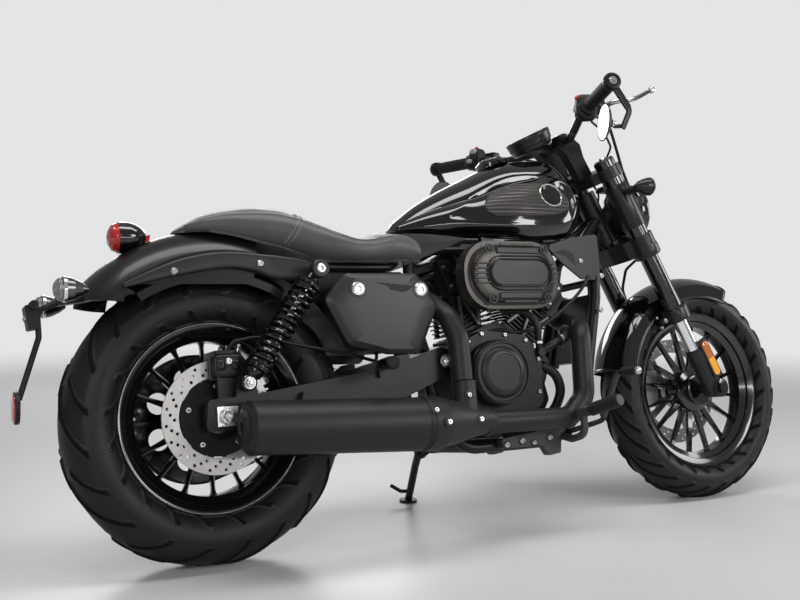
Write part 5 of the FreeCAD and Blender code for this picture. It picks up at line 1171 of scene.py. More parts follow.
# ------------------------------------------------------------------ covers
# Pressed side covers of satin graphite, bevelled round their border, each held by two big bright
# screws; narrow covers beside the head tube, and plastic trims that fill the gap from tank to seat.

graphite = finish("graphite", (0.036, 0.034, 0.032), 0.36, metallic=0.35, spread=0.05, blotch=5.0,
                  grain=1600.0, depth=0.03)
dress(["neck_covers"], graphite)
box_plastic = finish("box_plastic", (0.009, 0.009, 0.009), 0.50, spread=0.08, grain=1000.0, depth=0.08)
dress(["battery_box"], box_plastic)


def loop(points, radius, per_bend=8):
    """Closed outline with its corners rounded to a radius."""
    pts = [np.asarray(point, float) for point in points]
    start = (pts[0] + pts[-1]) / 2
    return bent([start] + pts + [start], radius, per_bend)[:-1]


def prism(outline, side, levels):
    """Flat block: an (x, z) outline repeated at each sideways level."""
    x, z = np.array(outline, float).T
    return capped(np.array([np.stack([x, np.full(len(x), side * y), z], -1) for y in levels]))


def pressed(outline, side, levels, radius):
    """Plate with a bevelled border: the rounded (x, z) outline shrunk towards its middle, level by level."""
    corners = np.array(outline, float)
    middle = (corners.min(0) + corners.max(0)) / 2
    rings = []
    for share, y in levels:
        ring = loop(middle + (corners - middle) * share, radius * share)
        rings.append(np.stack([ring[:, 0], np.full(len(ring), side * y), ring[:, 1]], -1))
    return capped(np.array(rings))


COVER_OUTLINE = ((278, 607), (460, 607), (513, 538), (455, 422), (372, 424), (276, 450), (225, 550))
COVER_LEVELS = ((0.985, 149.5), (1.0, 151), (1.0, 155), (0.99, 157.4), (0.895, 165.2), (0.875, 166.2),
                (0.6, 167.6), (0.2, 168.2))
cover = piece("side_cover_skins", [pressed(COVER_OUTLINE, side, COVER_LEVELS, 20) for side in SIDES],
              "frame", graphite, 24.0)
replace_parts(cover, "side_covers")
INLAY_OUTLINE = ((348, 585), (444, 577), (436, 570), (418, 562), (384, 568), (378, 577))
cover_screws, cover_wells, inlays = [], [], []
for side in SIDES:
    for x, z in ((304, 570), (462, 568)):
        base = (x, side * 165.8, z)
        cover_screws.append(lathe([(0, 16.5), (3.0, 16.5), (5.2, 14.5), (6.2, 9.5), (6.2, 6.8), (2.5, 6.2)],
                                  base, (0, side, 0), 40))
        cover_wells.append(hollow_lathe([(-1, 16.8), (-1, 20.5), (2.2, 20.2), (2.2, 16.8)], base,
                                        (0, side, 0), 40))
    inlays.append(prism(INLAY_OUTLINE, side, (164, 167.9)))
fasteners("side_cover_screws", cover_screws)
piece("side_cover_wells", cover_wells, "frame", powder_coat)
piece("side_cover_inlays", inlays, "frame", box_plastic)

NECK_ARROW = ((895, 672), (926, 680), (957, 670), (962, 636), (934, 661))
arrows = [prism(NECK_ARROW, side, (109, 110.6)) for side in SIDES]
frame_bolts += [socket_bolt((978, side * 110.2, 650), (0, side, 0), 6.0, 4.0) for side in SIDES]
piece("neck_cover_arrows", arrows, "frame", box_plastic)


def sheet_patch(upper, lower, thick, rows=10, cols=40):
    """Thin closed panel between two edge paths, bulging a little sideways in its middle."""
    up, down = route(upper, cols), route(lower, cols)
    share = np.linspace(0, 1, rows)[:, None, None]
    front = up[None] * (1 - share) + down[None] * share
    side = np.sign(front[..., 1].mean())
    front[..., 1] += side * 4 * np.sin(math.pi * share[..., 0])
    back = front - np.array([0, side * thick, 0])
    ring = np.concatenate([front, back[::-1]]).transpose(1, 0, 2)
    return capped(ring)


TRIM_EDGES = np.array((((462, 98, 712), (520, 100, 712), (580, 98, 710), (636, 98, 706)),
                       ((452, 114, 632), (500, 114, 650), (560, 110, 672), (630, 102, 696))), float)
trims = [sheet_patch(*TRIM_EDGES * (1, side, 1), 4.0) for side in SIDES]
piece("seat_side_trims", trims, "frame", box_plastic)

# ------------------------------------------------------------------ rear fender and lamps
# Deep rear fender of satin black steel between two cast struts, a round red tail lamp, a plate
# carrier with a red reflector, and two chromed bullet indicators with clear lenses.

fender_satin = finish("fender_satin", (0.007, 0.0068, 0.0065), 0.30, coat=0.15, spread=0.04, blotch=5.0,
                      depth=0.01)
dress(["rear_fender"], fender_satin)
dress(["front_fender"], tank_paint)
dress(["plate_bracket"], box_plastic)
strut_coat = finish("strut_coat", (0.022, 0.022, 0.022), 0.34, spread=0.06, blotch=7.0, grain=700.0,
                    depth=0.03)


AFT = (-1, 0, 0)


def strut_loft(side, steps=70):
    """Fender strut: rounded section whose upper and lower edges follow two curves along the bike."""
    upper = route([(-192, 0, 592), (-130, 0, 622), (-60, 0, 647), (24, 0, 660), (120, 0, 655),
                   (196, 0, 646), (232, 0, 636)], steps)
    lower = route([(-192, 0, 582), (-96, 0, 605), (22, 0, 625), (90, 0, 618), (130, 0, 603),
                   (196, 0, 596), (232, 0, 600)], steps)
    angle = 2 * math.pi * np.arange(20) / 20
    rows = []
    for top, low in zip(upper, lower):
        middle, half = (top + low) / 2, (top - low) / 2
        swell = 8.0 + 3.0 * np.clip((top[0] - 120) / 100, 0, 1)
        up, out = squared(np.sin(angle), 0.55), squared(np.cos(angle), 0.55)
        sideways = side * (96.5 + swell * (1 + out))
        rows.append(middle + up[:, None] * half + sideways[:, None] * LEFT)
    return capped(np.array(rows))


struts = piece("fender_strut_castings", [strut_loft(side) for side in SIDES], "frame",
               strut_coat)
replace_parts(struts, "fender_struts")
pegs = [lathe([(0, 12), (62, 12)], (SHOCK_TOP[0], side * 90, SHOCK_TOP[2]), (0, side, 0), 24)
        for side in SIDES]
piece("strut_studs", pegs, "frame", strut_coat)
frame_bolts += [socket_bolt((x, side * 112.4, z), (0, side, 0), 8.0, 5.0)
                for side in SIDES for x, z in ((-89, 616), (100, 634))]

# Inner fender: a plain moulded sheet round the tyre's front, ahead of the steel one.
guard_angle = np.radians(np.linspace(24, 70, 30))[:, None]
guard_y = np.concatenate([np.linspace(-74, 74, 15), np.linspace(74, -74, 15)])
guard_r = REAR_RADIUS + 37.0 + np.repeat((0.0, 3.0), 15) - 10.0 * (guard_y / 74) ** 6
guard = round_axle(0.0, REAR_RADIUS, guard_r, guard_angle, guard_y)
piece("inner_fender", [capped(guard)], "frame", box_plastic)

# Tail lamp: a gloss black bullet shell behind a ribbed red lens. Indicators: dark chromed bullets.
red_lens = finish("red_lens", (0.42, 0.008, 0.010), 0.14, coat=1.0, spread=0.05, grain=60.0, depth=0.10)
dark_chrome = finish("dark_chrome", (0.11, 0.11, 0.115), 0.22, metallic=1.0, spread=0.05)
dress(["tail_light"], red_lens)
dress(["rear_indicators"], dark_chrome)


def lens_glass(name, tint, cells):
    """Clear moulded lens: glass over small faceted cells that break up what lies behind."""
    material, _, _, shader = new_material(name)
    set_inputs(shader, {"Roughness": 0.06, "IOR": 1.45, "Transmission Weight": 0.82})
    facets = texture(material, "Voronoi", cells).outputs["Distance"]
    toned(material, facets, tint, [0.86 * c for c in tint])
    bumped(material, facets, 0.5, 0.0006)
    return material


clear_lens = lens_glass("clear_lens", (0.92, 0.93, 0.94), 260.0)
CROWN_C = (30.0, 325.0)
CROWN_R = 400.0


def on_crown(angle, proud):
    """Point (x, z) over the rear fender's crown, at an angle in degrees from straight ahead."""
    turn, reach = math.radians(angle), CROWN_R + proud
    return CROWN_C[0] + reach * math.cos(turn), CROWN_C[1] + reach * math.sin(turn)


tail_x, tail_z = on_crown(111.5, 9.5)
shell = hollow_lathe([(0.5, 8), (0.5, 14.8), (7, 22), (14.5, 27), (24, 31), (34, 33.8), (55, 34.2),
                      (57.5, 34.6), (58, 32.6), (50, 31)], (tail_x, 0, tail_z), AFT, 56)
piece("tail_lamp_shell", [shell], "frame", tank_paint)
lens_steps = [(55, 32.4), (60, 32.4)]
for k in range(7):
    reach = 31.5 - 0.62 * k ** 2
    lens_steps += [(61 + 2.6 * k, reach), (62.6 + 2.6 * k, reach - 0.8 - 0.3 * k)]
piece("tail_lamp_lens", [lathe(lens_steps + [(79.6, 4)], (tail_x, 0, tail_z), AFT, 56)], "frame",
      red_lens)
carrier_x, carrier_z = on_crown(136.6, -14.5)
signal_lenses, signal_rims = [], []
for side in SIDES:
    base = (carrier_x - 16, side * 135.6, carrier_z - 14)
    signal_lenses.append(lathe([(46.5, 23.6), (52, 23.4), (58.5, 20.8), (65, 13), (67.4, 4)], base, AFT, 40))
    signal_rims.append(hollow_lathe([(43, 23), (43, 25.8), (48, 26.0), (49.5, 25), (49, 23)], base, AFT, 40))
piece("rear_signal_lenses", signal_lenses, "frame", clear_lens)
piece("rear_signal_rims", signal_rims, "frame", rod_chrome)
reflex_x, reflex_z = carrier_x - 134, carrier_z - 234
reflex = lathe([(7.5, 31), (10.4, 30.6), (12.2, 27), (12.8, 14), (13, 3)], (reflex_x, 0, reflex_z), AFT, 48)
piece("rear_reflector", [reflex], "frame", red_lens)
bolts = [socket_bolt((carrier_x - 117, y, carrier_z - 55), (-0.99, 0, -0.15), 5.0, 3.5)
         for y in (-12, 12)]
lamp_body = [lathe([(0, 9), (24, 9), (27, 7)], (carrier_x - 104, -34, carrier_z - 30), LEFT, 20)]
piece("plate_lamp", lamp_body, "frame", box_plastic)
fasteners("plate_carrier_bolts", bolts)

# ------------------------------------------------------------------ pegs, pedal and rear caliper
# Ribbed rubber sleeves on the pegs, zinc bolts through the peg plates, a black toe piece with a
# bright ball end on the pedal; the caliper is a small finned casting with pistons and pins.

peg_grey = finish("peg_grey", (0.050, 0.048, 0.045), 0.42, metallic=0.3, spread=0.06, blotch=10.0)
dress(["rider_pegs"], peg_grey)
ribbed_rubber = finish("ribbed_rubber", (0.008, 0.008, 0.008), 0.60, spread=0.06, grain=1500.0, depth=0.06)


def ribbed(start, end, radius, pitch, rib=1.6):
    """Rubber sleeve along a line, with rounded ribs at an even pitch."""
    start, end = np.asarray(start, float), np.asarray(end, float)
    length = float(np.linalg.norm(end - start))
    s = np.linspace(0, length, int(length / pitch * 6) + 1)
    r = radius + rib * np.clip(np.sin(2 * math.pi * s / pitch) * 1.6, -1, 1) / 2
    r[0] = r[-1] = radius - 2
    return lathe(np.stack([s, r], -1), start, end - start, 28)


sleeves = []
for side in SIDES:
    sleeves.append(ribbed((867, side * 236, 268), (883.6, side * 321, 286.7), 15.2, 8.0))
    sleeves.append(ribbed((362, side * 200, 401.3), (331, side * 259, 400), 13.4, 7.0))
piece("peg_sleeves", sleeves, "frame", ribbed_rubber)
plate_bolts, plate_eyes = [], []
for side in SIDES:
    for x, z, radius in ((684, 200, 8), (729, 206, 8), (763, 199, 6.5), (812, 208, 8)):
        plate_bolts.append(socket_bolt((x, side * 136.8, z), (0, side, 0), radius, 5.5))
        plate_eyes.append(lathe([(-0.5, radius + 3), (1.0, radius + 3), (1.4, radius + 1.5)],
                                (x, side * 136.4, z), (0, side, 0), 28))
    plate_eyes.append(hollow_lathe([(-2, 6), (-2, 12.5), (3, 12.5), (4, 11.5), (4, 6)],
                                   (866, side * 137, 209), (0, side, 0), 32))
fasteners("peg_plate_bolts", plate_bolts)
piece("peg_plate_eyes", plate_eyes, "frame", powder_coat)
toe_sleeves, toe_balls, toe_arms = [], [], []
for side in SIDES:
    toe_sleeves.append(ribbed((951, side * 262, 352.2), (955.6, side * 306, 352.9), 10.5, 6.0, 1.2))
    toe_balls.append(lathe([(0, 6.5), (2, 8.8), (6, 10.2), (10, 9.2), (12.6, 6), (13.4, 2)],
                           (955.4, side * 304, 352.9), (0.1, side, 0.02), 28))
    toe_arms.append(carried([(928, side * 202, 248), (936, side * 222, 290), (946, side * 240, 340),
                             (950, side * 250, 352)], [9.0, 8.2, 8.0, 8.4], 8))
piece("pedal_toes", toe_sleeves, "frame", ribbed_rubber)
fasteners("pedal_balls", toe_balls)
piece("pedal_arms", toe_arms, "frame", peg_grey)


def pebble(centre, half, power, turn=None, rows=20, cols=32):
    """Rounded block: a ball whose sides are squared off the more, the smaller the power."""
    lat = np.linspace(-math.pi / 2 + 0.06, math.pi / 2 - 0.06, rows)[:, None]
    lon = (2 * math.pi * np.arange(cols) / cols)[None]
    low, high = squared(np.cos(lat), power), squared(np.sin(lat), power)
    local = np.stack([low * squared(np.cos(lon), power), low * squared(np.sin(lon), power),
                      high + 0 * lon], -1) * np.asarray(half, float)
    axes = np.eye(3) if turn is None else np.array(turn, float)
    return capped(local @ axes + np.asarray(centre, float))


CALIPER = (16.0, REAR_RADIUS + 106.0)
caliper_blocks = [pebble((CALIPER[0], -104, CALIPER[1] - 2), (32, 13, 26), 0.45),
                  pebble((CALIPER[0] - 16, -106, CALIPER[1]), (12, 14, 14), 0.7),
                  pebble((CALIPER[0] + 16, -106, CALIPER[1]), (12, 14, 14), 0.7),
                  pebble((CALIPER[0], -84, CALIPER[1] + 28), (26, 22, 6), 0.4)]
piece("rear_caliper_casting", caliper_blocks, "frame", engine_enamel)
caliper_bolts = [socket_bolt((16, -119, CALIPER[1] + 8), RIGHT, 8.0, 5.0),
                 socket_bolt((60, -114, REAR_RADIUS + 76), RIGHT, 8.0, 6.0),
                 lathe([(0, 4), (10, 4), (11, 5.5), (18, 5), (19, 3)], (44, -92, CALIPER[1] + 28),
                       (0.3, 0, 1), 16)]
fasteners("rear_caliper_bolts", caliper_bolts)
hub_covers = [hollow_lathe([(0, 34), (0, 82), (1.6, 82), (2.2, 80), (2.2, 62), (5, 56), (6, 46), (6, 34)],
                           (0, -80.6, REAR_RADIUS), RIGHT, 72)]
carrier_black = finish("carrier_black", (0.004, 0.004, 0.004), 0.40, spread=0.06, shine=0.15)
piece("rear_disc_carrier", hub_covers, "rear_wheel", carrier_black)
dress(["rear_pulley"], wheel_enamel)
dress(["drive_belt"], ribbed_rubber)

# ------------------------------------------------------------------ fork, brake and front fender
# Conventional fork: black covers from clamp to clamp, black tubes, bright sliders into black feet
# with amber reflectors; a silver caliper; a short fender with rolled lips, bolted to ring clamps.

fork_black = finish("fork_black", (0.012, 0.012, 0.012), 0.30, coat=0.1, spread=0.05, grain=600.0,
                    depth=0.03)
caliper_silver = finish("caliper_silver", (0.44, 0.44, 0.43), 0.34, metallic=0.9, spread=0.08, blotch=40.0)
fork_gloss = finish("fork_gloss", (0.004, 0.004, 0.004), 0.12, coat=0.6, spread=0.04, shine=0.5)
dress(["fork_tubes"], fork_gloss)
dress(["triple_clamps", "fork_legs"], fork_black)
dress(["front_axle"], powder_coat)
dress(["front_caliper"], caliper_silver)
STEER = np.array(JOINTS["steering_turn"]["axis"])
RAKE = math.asin(-STEER[0])
UP_FORK = np.array([-math.sin(RAKE), 0, math.cos(RAKE)])
AHEAD = np.array([math.cos(RAKE), 0, math.sin(RAKE)])
STEER_FOOT = np.array([WHEELBASE, 0, FRONT_RADIUS]) - AHEAD * 42.0
FORK_Y, FORK_AHEAD = 98.0, 29.0


def fork_point(ahead, y, up):
    """Point given by its distance ahead of the steering axis, sideways and up along it."""
    return STEER_FOOT + AHEAD * ahead + UP_FORK * up + np.array([0, y, 0])


sliders, fork_rings, clamp_rings, fork_caps, fork_bolts, seals = [], [], [], [], [], []
for side in SIDES:
    y = side * FORK_Y
    foot = fork_point(FORK_AHEAD, y, 0)
    sliders.append(lathe([(124, 18.9), (231, 18.9)], foot, UP_FORK, 40))
    fork_rings.append(hollow_lathe([(508, 28), (508, 30.8), (510, 31.6), (632, 31.6), (634, 30.8),
                                    (634, 28)], foot, UP_FORK, 56))
    clamp_rings.append(hollow_lathe([(222, 24), (222, 34), (224, 35.5), (256, 36), (259, 34.5), (259, 24)],
                                    foot, UP_FORK, 56))
    clamp_rings.append(hollow_lathe([(418, 28), (418, 35), (421, 37), (434, 37.6), (446, 37), (450, 34),
                                     (450, 28)], foot, UP_FORK, 56))
    seals.append(hollow_lathe([(120, 18.5), (120, 21.5), (126, 22), (129, 20), (129, 18.5)],
                              foot, UP_FORK, 40))
    fork_caps.append(lathe([(703.6, 27.4), (707, 27.4), (709, 25.6), (709, 19), (707.6, 18), (707.6, 4)],
                           foot, UP_FORK, 48))
    fork_bolts.append(lathe([(707, 9), (714, 9), (715, 8)], foot, UP_FORK, 6))
    tab = [fork_point(FORK_AHEAD - 24, y - side * 6, 242), fork_point(FORK_AHEAD - 52, y - side * 12, 238)]
    clamp_rings.append(carried(tab, [9.5, 8.0], 10))
    fork_bolts.append(socket_bolt(fork_point(FORK_AHEAD - 42, y + side * -1.5, 240), (0, side, 0), 6.5, 5.0))
    fork_bolts.append(socket_bolt(fork_point(FORK_AHEAD + 17, y + side * 27.5, 15), (0, side, 0), 8.5, 5.0))
piece("fork_sliders", sliders, "steering", rod_chrome)
piece("fork_rings", fork_rings + clamp_rings + fork_caps, "steering", fork_black)
piece("fork_seals", seals, "steering", hose_rubber)
fasteners("fork_bolts", fork_bolts, "steering")
stem_nut = [lathe([(697, 19), (705, 19), (707, 17)], STEER_FOOT, UP_FORK, 6),
            lathe([(705, 12), (710, 12), (711.5, 10)], STEER_FOOT, UP_FORK, 24)]
fasteners("stem_nut", stem_nut, "steering")

# One amber lens in two tones: the lower half's lighter amber is a painted highlight, the upper half's darker
# amber is painted shade.
amber_painted_shade = finish("amber_painted_shade", (0.46, 0.13, 0.015), 0.18, coat=1.0, spread=0.05, grain=260.0, depth=0.10)
amber_painted_lit = finish("amber_painted_lit", (0.86, 0.36, 0.02), 0.16, coat=1.0, spread=0.05, grain=260.0, depth=0.10)


def reflector(side, low, high, first_end, last_end, deep, half=11.0):
    """Reflector bar beside a fork foot, from one height along it to another, its ends round or square."""
    base_y = side * (FORK_Y + 23.0)
    outline = []
    for start, end, way, rounded in ((math.pi, low, 1, first_end), (0.0, high, -1, last_end)):
        for k in range(13):
            angle = start + math.pi * k / 12
            bend = half * (1 + way * math.sin(angle)) if rounded else 0
            outline.append((half * math.cos(angle), end + way * bend))
    middle = (low + high) / 2
    rings = []
    for share, out in ((1.0, 0), (1.0, deep - 1.2), (0.9, deep), (0.4, deep + 0.3)):
        rings.append([fork_point(FORK_AHEAD + 23 + ahead * share, base_y + side * out,
                                 middle + (up - middle) * share) for ahead, up in outline])
    return capped(np.array(rings))


piece("fork_reflector_holders", [reflector(side, 30, 144, True, True, 2.4, 15.5) for side in SIDES],
      "steering", box_plastic)
# upper half of each lens in painted shade, lower half painted lit
piece("fork_reflectors_upper", [reflector(side, 87.2, 138, False, True, 4.6) for side in SIDES],
      "steering", amber_painted_shade)
piece("fork_reflectors_lower", [reflector(side, 36, 86.8, True, False, 4.6) for side in SIDES],
      "steering", amber_painted_lit)

brake = fork_point(-62, 0, 62)
front_brake = [pebble((brake[0], 86, brake[2]), (30, 9, 48), 0.4),
               pebble((brake[0], 44, brake[2]), (28, 9, 46), 0.4)]
front_brake += [lathe([(0, 17), (6, 17), (8, 15), (8, 9), (6.4, 8)],
                      (brake[0], 94, brake[2] + up), LEFT, 36) for up in (-22, 20)]
piece("front_caliper_casting", front_brake, "steering", caliper_silver)
brake_bolts = [socket_bolt((brake[0] + dx, 95, brake[2] + dz), LEFT, 5.5, 4.5)
               for dz in (38, -38) for dx in (-20, 20)]
fasteners("front_caliper_bolts", brake_bolts, "steering")

FENDER_R, FENDER_HALF = 321.0, 68.0


def fender_edge(y, reach, low, high, steps=80):
    """Path along a front fender's skirt, at a sideways place and a reach from the axle."""
    return round_axle(WHEELBASE, FRONT_RADIUS, reach, np.radians(np.linspace(low, high, steps)), y)


def fender_rim(angle, steps=40):
    """Path across the front fender at one angle: up a skirt, over the crown and down the other."""
    crown = bow((-FENDER_HALF, FENDER_R - 26), (0, FENDER_R), (FENDER_HALF, FENDER_R - 26), steps)
    section = np.concatenate([[(-FENDER_HALF, FENDER_R - 61)], crown, [(FENDER_HALF, FENDER_R - 61)]])
    return round_axle(WHEELBASE, FRONT_RADIUS, section[:, 1], math.radians(angle), section[:, 0])


lips = [carried(fender_edge(side * (FENDER_HALF - 0.5), FENDER_R - 61, 68, 168), 3.6, 12) for side in SIDES]
lips += [carried(fender_rim(angle), 3.6, 12) for angle in (68.3, 167.7)]
piece("front_fender_lips", lips, "steering", tank_paint)
fender_bolts = [socket_bolt(fork_point(ahead, side * 72.4, up), (0, side, 0), 5.0, 3.0)
                for side in SIDES for ahead in (-14, 40) for up in (222, 252)]
fasteners("front_fender_bolts", fender_bolts, "steering")

# ------------------------------------------------------------------ headlight, indicators and dial
# Round headlamp in a black bowl: a stepped bright reflector and a projector behind a clear dome.
# Black bullet indicators with clear lenses. One tilted round dial behind the handlebar.

dress(["headlight", "front_indicators", "handlebar"], fork_black)
dress(["bar_risers"], finish("riser_black", (0.006, 0.006, 0.006), 0.42, shine=0.12))
dress(["speedometer", "switchgear"], box_plastic)
LAMP, FORE = (1197.0, 0.0, 805.0), (1, 0, 0)
reflector_bright = finish("reflector_bright", (0.80, 0.81, 0.82), 0.16, metallic=1.0, spread=0.06,
                          grain=80.0, depth=0.05)
dome = lens_glass("lamp_glass", (0.95, 0.96, 0.97), 40.0)
bezel = hollow_lathe([(36, 79), (36, 82.5), (40, 84), (60, 84), (65, 82), (66, 78.5), (58.5, 76)], LAMP,
                     FORE, 96)
piece("headlight_bezel", [bezel], "steering", tank_paint)
reflector_steps = [(58.2, 74)] + [(58.4 + 0.5 * (k % 2), 72 - 4.5 * k) for k in range(9)]
reflector_steps += [(58.6, 32), (60.5, 31), (60.5, 24), (58.6, 23), (62.5, 20), (64, 12), (64.5, 4)]
lamp_inside = [lathe(reflector_steps, LAMP, FORE, 72)]
piece("headlight_reflector", lamp_inside, "steering", reflector_bright)
dome_shell = lathe([(65.2, 78), (67, 77.4), (70, 66), (73, 46), (74.6, 24), (75, 4)], LAMP, FORE, 96)
glass = piece("headlight_glass", [dome_shell], "steering", dome)
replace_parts(glass, "headlight_lens")
lamp_box = [pebble((1190, 0, 876), (24, 34, 8), 0.4), pebble((1228, -74, 824), (16, 9, 17), 0.4),
            pebble((1228, 74, 824), (16, 9, 17), 0.4)]
piece("headlight_bracket", lamp_box, "steering", fork_black)
signals, signal_collars = [], []
for side in SIDES:
    place = fork_point(24, 0, 606) + np.array([0, side * 198, 0])
    signals.append(lathe([(20.5, 21.8), (23, 21.6), (27.5, 17.8), (30.6, 9), (32, 3)], place, FORE, 40))
    signal_collars.append(hollow_lathe([(15, 20), (15, 23.6), (20.5, 23.9), (22, 22.4), (20.5, 20)],
                                       place, FORE, 40))
    stalk = place - np.array([0, side * 20, 0])
    signal_collars.append(ribbed(stalk, stalk - np.array([0, side * 40, 0]), 10.0, 7.0, 1.4))
piece("front_signal_lenses", signals, "steering", clear_lens)
piece("front_signal_collars", signal_collars, "steering", box_plastic)

DIAL, DIAL_WAY = np.array([932.0, 0.0, 992.0]), (-0.42, 0, 0.91)
dial_shell = hollow_lathe([(-22, 40), (-22, 50), (-19, 55), (-8, 57.5), (-6, 60), (8, 61), (10, 62),
                           (18, 62), (20.4, 60.6), (20.8, 58), (18.6, 55.5), (12, 55)], DIAL, DIAL_WAY, 80)
piece("dial_shell", [dial_shell], "steering", fork_black)
dial_glass = finish("dial_glass", (0.006, 0.006, 0.007), 0.06, coat=1.0, spread=0.02)
piece("dial_glass", [lathe([(17.6, 55.6), (18.9, 55), (19.3, 20)], DIAL, DIAL_WAY, 80)], "steering",
      dial_glass)
axis, first, second = ring_frame(DIAL_WAY)
marks = []
for k in range(41):
    angle = math.radians(-130 + 260 * k / 40) + math.pi / 2
    way = math.cos(angle) * first + math.sin(angle) * second
    low = 44.0 if k % 5 == 0 else 47.5
    marks.append(carried([DIAL + axis * 19.2 + way * low, DIAL + axis * 19.0 + way * 52],
                         0.9 if k % 5 == 0 else 0.5, 6))
needle_way = math.cos(math.radians(215)) * first + math.sin(math.radians(215)) * second
needle = [DIAL + axis * 19.8 - needle_way * 8, DIAL + axis * 19.8 + needle_way * 40]
marks.append(carried(needle, [1.8, 0.7], 8))
mark_white = finish("mark_white", (0.70, 0.71, 0.72), 0.5, grain=1500.0)
piece("dial_marks", marks, "steering", mark_white)

# ------------------------------------------------------------------ handlebar, levers and mirrors
# Black bar in two cast risers, rubber grips and black end caps with a bright screw, moulded switch
# housings, cast alloy levers with ball tips, and a round mirror on a flat bent arm at each end.

lever_alloy = finish("lever_alloy", (0.62, 0.62, 0.61), 0.24, metallic=1.0, spread=0.08, blotch=50.0)
arm_black = finish("arm_black", (0.009, 0.009, 0.009), 0.34, spread=0.06, grain=900.0, depth=0.04)
mirror_glass = finish("mirror_glass", (0.30, 0.31, 0.32), 0.05, metallic=1.0, spread=0.01, blotch=3.0,
                      mottle=0.02)
button_red = finish("button_red", (0.62, 0.012, 0.012), 0.35, coat=0.3)
switch_grey = finish("switch_grey", (0.30, 0.30, 0.31), 0.40)
dress(["grips"], ribbed_rubber)
dress(["control_lines"], hose_rubber)
BAR_KNEE, BAR_END = np.array([930.0, 226.0, 1004.0]), np.array([878.0, 401.0, 1020.0])


def on_bar(side, reach):
    """Point on the bar's outer run at a sideways distance from the middle."""
    share = (reach - BAR_KNEE[1]) / (BAR_END[1] - BAR_KNEE[1])
    return (BAR_KNEE + (BAR_END - BAR_KNEE) * share) * (1, side, 1)


def bar_turn(side):
    """Unit vectors ahead of the bar's outer run, along it and up from it."""
    along = (BAR_END - BAR_KNEE) * (1, side, 1) / np.linalg.norm(BAR_END - BAR_KNEE)
    ahead = side * np.cross(along, (0, 0, 1))
    ahead /= np.linalg.norm(ahead)
    return np.array([ahead, along, side * np.cross(ahead, along)])


def flat_arm(path, wide, thick):
    """Flat bar carried along a path, its width square to the path in the x-z plane, its edges rounded."""
    path = np.asarray(path, float)
    ways = np.gradient(path, axis=0)
    ways /= np.linalg.norm(ways, axis=1)[:, None]
    across = np.cross(ways, LEFT)
    across /= np.linalg.norm(across, axis=1)[:, None]
    normal = np.cross(ways, across)
    angle = 2 * math.pi * (np.arange(16) + 0.5) / 16
    out, up = squared(np.cos(angle), 0.35), squared(np.sin(angle), 0.35)
    size = np.broadcast_to(np.asarray(wide, float), (len(path),))[:, None, None] / 2
    return capped(path[:, None] + size * out[None, :, None] * across[:, None]
                  + thick / 2 * up[None, :, None] * normal[:, None])


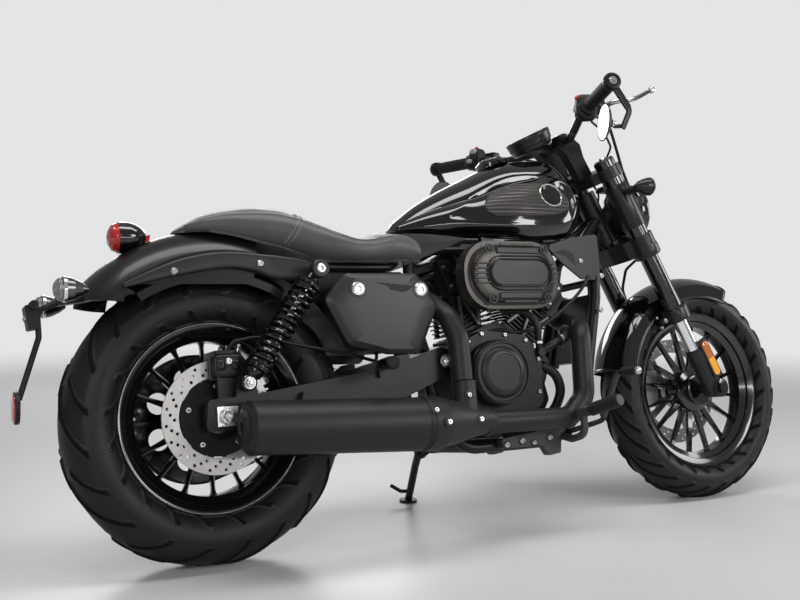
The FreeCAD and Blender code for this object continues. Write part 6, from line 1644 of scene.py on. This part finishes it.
flanges, end_caps, end_screws, housings, perches, blades, arms, joints = [], [], [], [], [], [], [], []
mirror_shells, mirror_faces = [], []
for side in SIDES:
    axes = bar_turn(side)
    ahead, along, up = axes
    flanges.append(hollow_lathe([(0, 16.8), (0, 21), (1.5, 22.6), (4.5, 22.6), (7, 19), (9, 16.8)],
                                on_bar(side, 272), along, 48))
    flanges.append(hollow_lathe([(0, 16.8), (0, 18.6), (3, 18.6), (4, 16.8)], on_bar(side, 392), along, 48))
    end_caps.append(lathe([(0, 17), (1, 20), (4, 21), (15, 21), (18, 19.4), (19, 16), (19, 10.4), (17, 10)],
                          on_bar(side, 397), along, 56))
    end_screws.append(lathe([(16, 9.4), (19.4, 9.4), (20.4, 8.4), (20.4, 4.6), (18, 4.2)],
                            on_bar(side, 397), along, 32))
    housings += [pebble(on_bar(side, 250) + up * 5 + ahead * 2, (25, 17, 33), 0.5, axes),
                 pebble(on_bar(side, 232) + up * 1, (21, 5, 24), 0.5, axes),
                 pebble(on_bar(side, 262) - ahead * 18 - up * 6, (13, 10, 17), 0.6, axes)]
    perches += [pebble(on_bar(side, 246) + ahead * 34 + up * 2, (22, 13, 11), 0.4, axes),
                pebble(on_bar(side, 232) + ahead * 40 + up * 16, (15, 25, 11), 0.3, axes)]
    lever_from = on_bar(side, 248) + ahead * 40 + up * 2
    tip = np.array([1014.0, side * 386, 1020.0])
    path = route([lever_from, lever_from + ahead * 20 + along * 40 + up * 2,
                  (1004, side * 336, 1014), tip], 30)
    blades.append(carried(path, np.linspace(7.0, 5.0, 30), 14))
    blades.append(lathe([(-4, 4), (-2, 7), (2, 8.6), (6, 8.4), (9, 6.4), (10.6, 2.6)], tip,
                        (0.1, side, 0.12), 24))
    arm_path = bent([on_bar(side, 406), (916, side * 414, 953), (897, side * 405, 911)], 16, 12)
    last = len(arm_path) - 1
    arms.append(flat_arm(arm_path, np.interp(range(last + 1), [0, 3, last], [20, 15, 13]), 6.5))
    arms.append(lathe([(-3.4, 20), (3.4, 20)], on_bar(side, 406), along, 40))
    face = np.array([873.0, side * 378, 931.0])
    way = np.array([-0.93, -side * 0.36, 0.1]) / np.linalg.norm([0.93, 0.36, 0.1])
    mirror_shells.append(lathe([(-15, 5), (-14, 9), (-9, 12), (-6, 24), (-2, 34), (2, 41), (4.5, 43.6),
                                (7, 43.6), (7.6, 42.4), (6.2, 41.4), (5.8, 40)], face, way, 72))
    mirror_faces.append(lathe([(5, 41.2), (6.9, 41.2), (7.1, 20)], face, way, 72))
    joints.append(carried([face - way * 12, face - way * 20 - (0, 0, 8), (897, side * 403, 917)],
                          [6.5, 5.0, 5.0], 14))
    joints.append(lathe([(-7, 4), (-4, 7), (0, 8), (4, 7), (7, 4)], face - way * 15, way, 24))
piece("grip_flanges", flanges, "steering", ribbed_rubber)
piece("bar_end_caps", end_caps, "steering", arm_black)
fasteners("bar_end_screws", end_screws, "steering")
piece("switch_housings", housings, "steering", box_plastic)
perch = piece("lever_perches", perches, "steering", arm_black)
blade = piece("lever_blades", blades, "steering", lever_alloy)
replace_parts(perch, "hand_levers")
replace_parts(blade, "hand_levers")
mirror_parts = [piece("mirror_arms", arms, "steering", arm_black),
                piece("mirror_joints", joints, "steering", lever_alloy),
                piece("mirror_shells", mirror_shells, "steering", arm_black),
                piece("mirror_faces", mirror_faces, "steering", mirror_glass)]
for part in mirror_parts:
    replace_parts(part, "mirrors")

left, right = bar_turn(1), bar_turn(-1)
buttons = [lathe([(-4, 6), (4, 6), (5.5, 4)], on_bar(1, 246) + left[2] * 36 - left[0] * 6, (-0.3, 0, 1), 20),
           lathe([(-4, 7), (4, 7), (5.5, 5)], on_bar(-1, 252) + right[2] * 30 - right[0] * 18,
                 (-0.8, 0, 0.6), 20)]
piece("red_buttons", buttons, "steering", button_red)
switches = [pebble(on_bar(1, 246) + left[2] * 26 - left[0] * 20, (6, 9, 8), 0.5, left),
            pebble(on_bar(-1, 246) - right[0] * 24 + right[2] * 6, (5, 8, 7), 0.5, right),
            pebble(on_bar(1, 256) - left[0] * 26 - left[2] * 2, (6, 8, 6), 0.5, left)]
piece("bar_switches", switches, "steering", switch_grey)
riser_bolts = [socket_bolt((x, side * 42, z), (-0.3, 0, 1), 5.0, 4.0)
               for side in SIDES for x, z in ((990, 1000.5), (1019, 1009))]
fasteners("riser_bolts", riser_bolts, "steering")

fasteners("frame_bolts", frame_bolts)
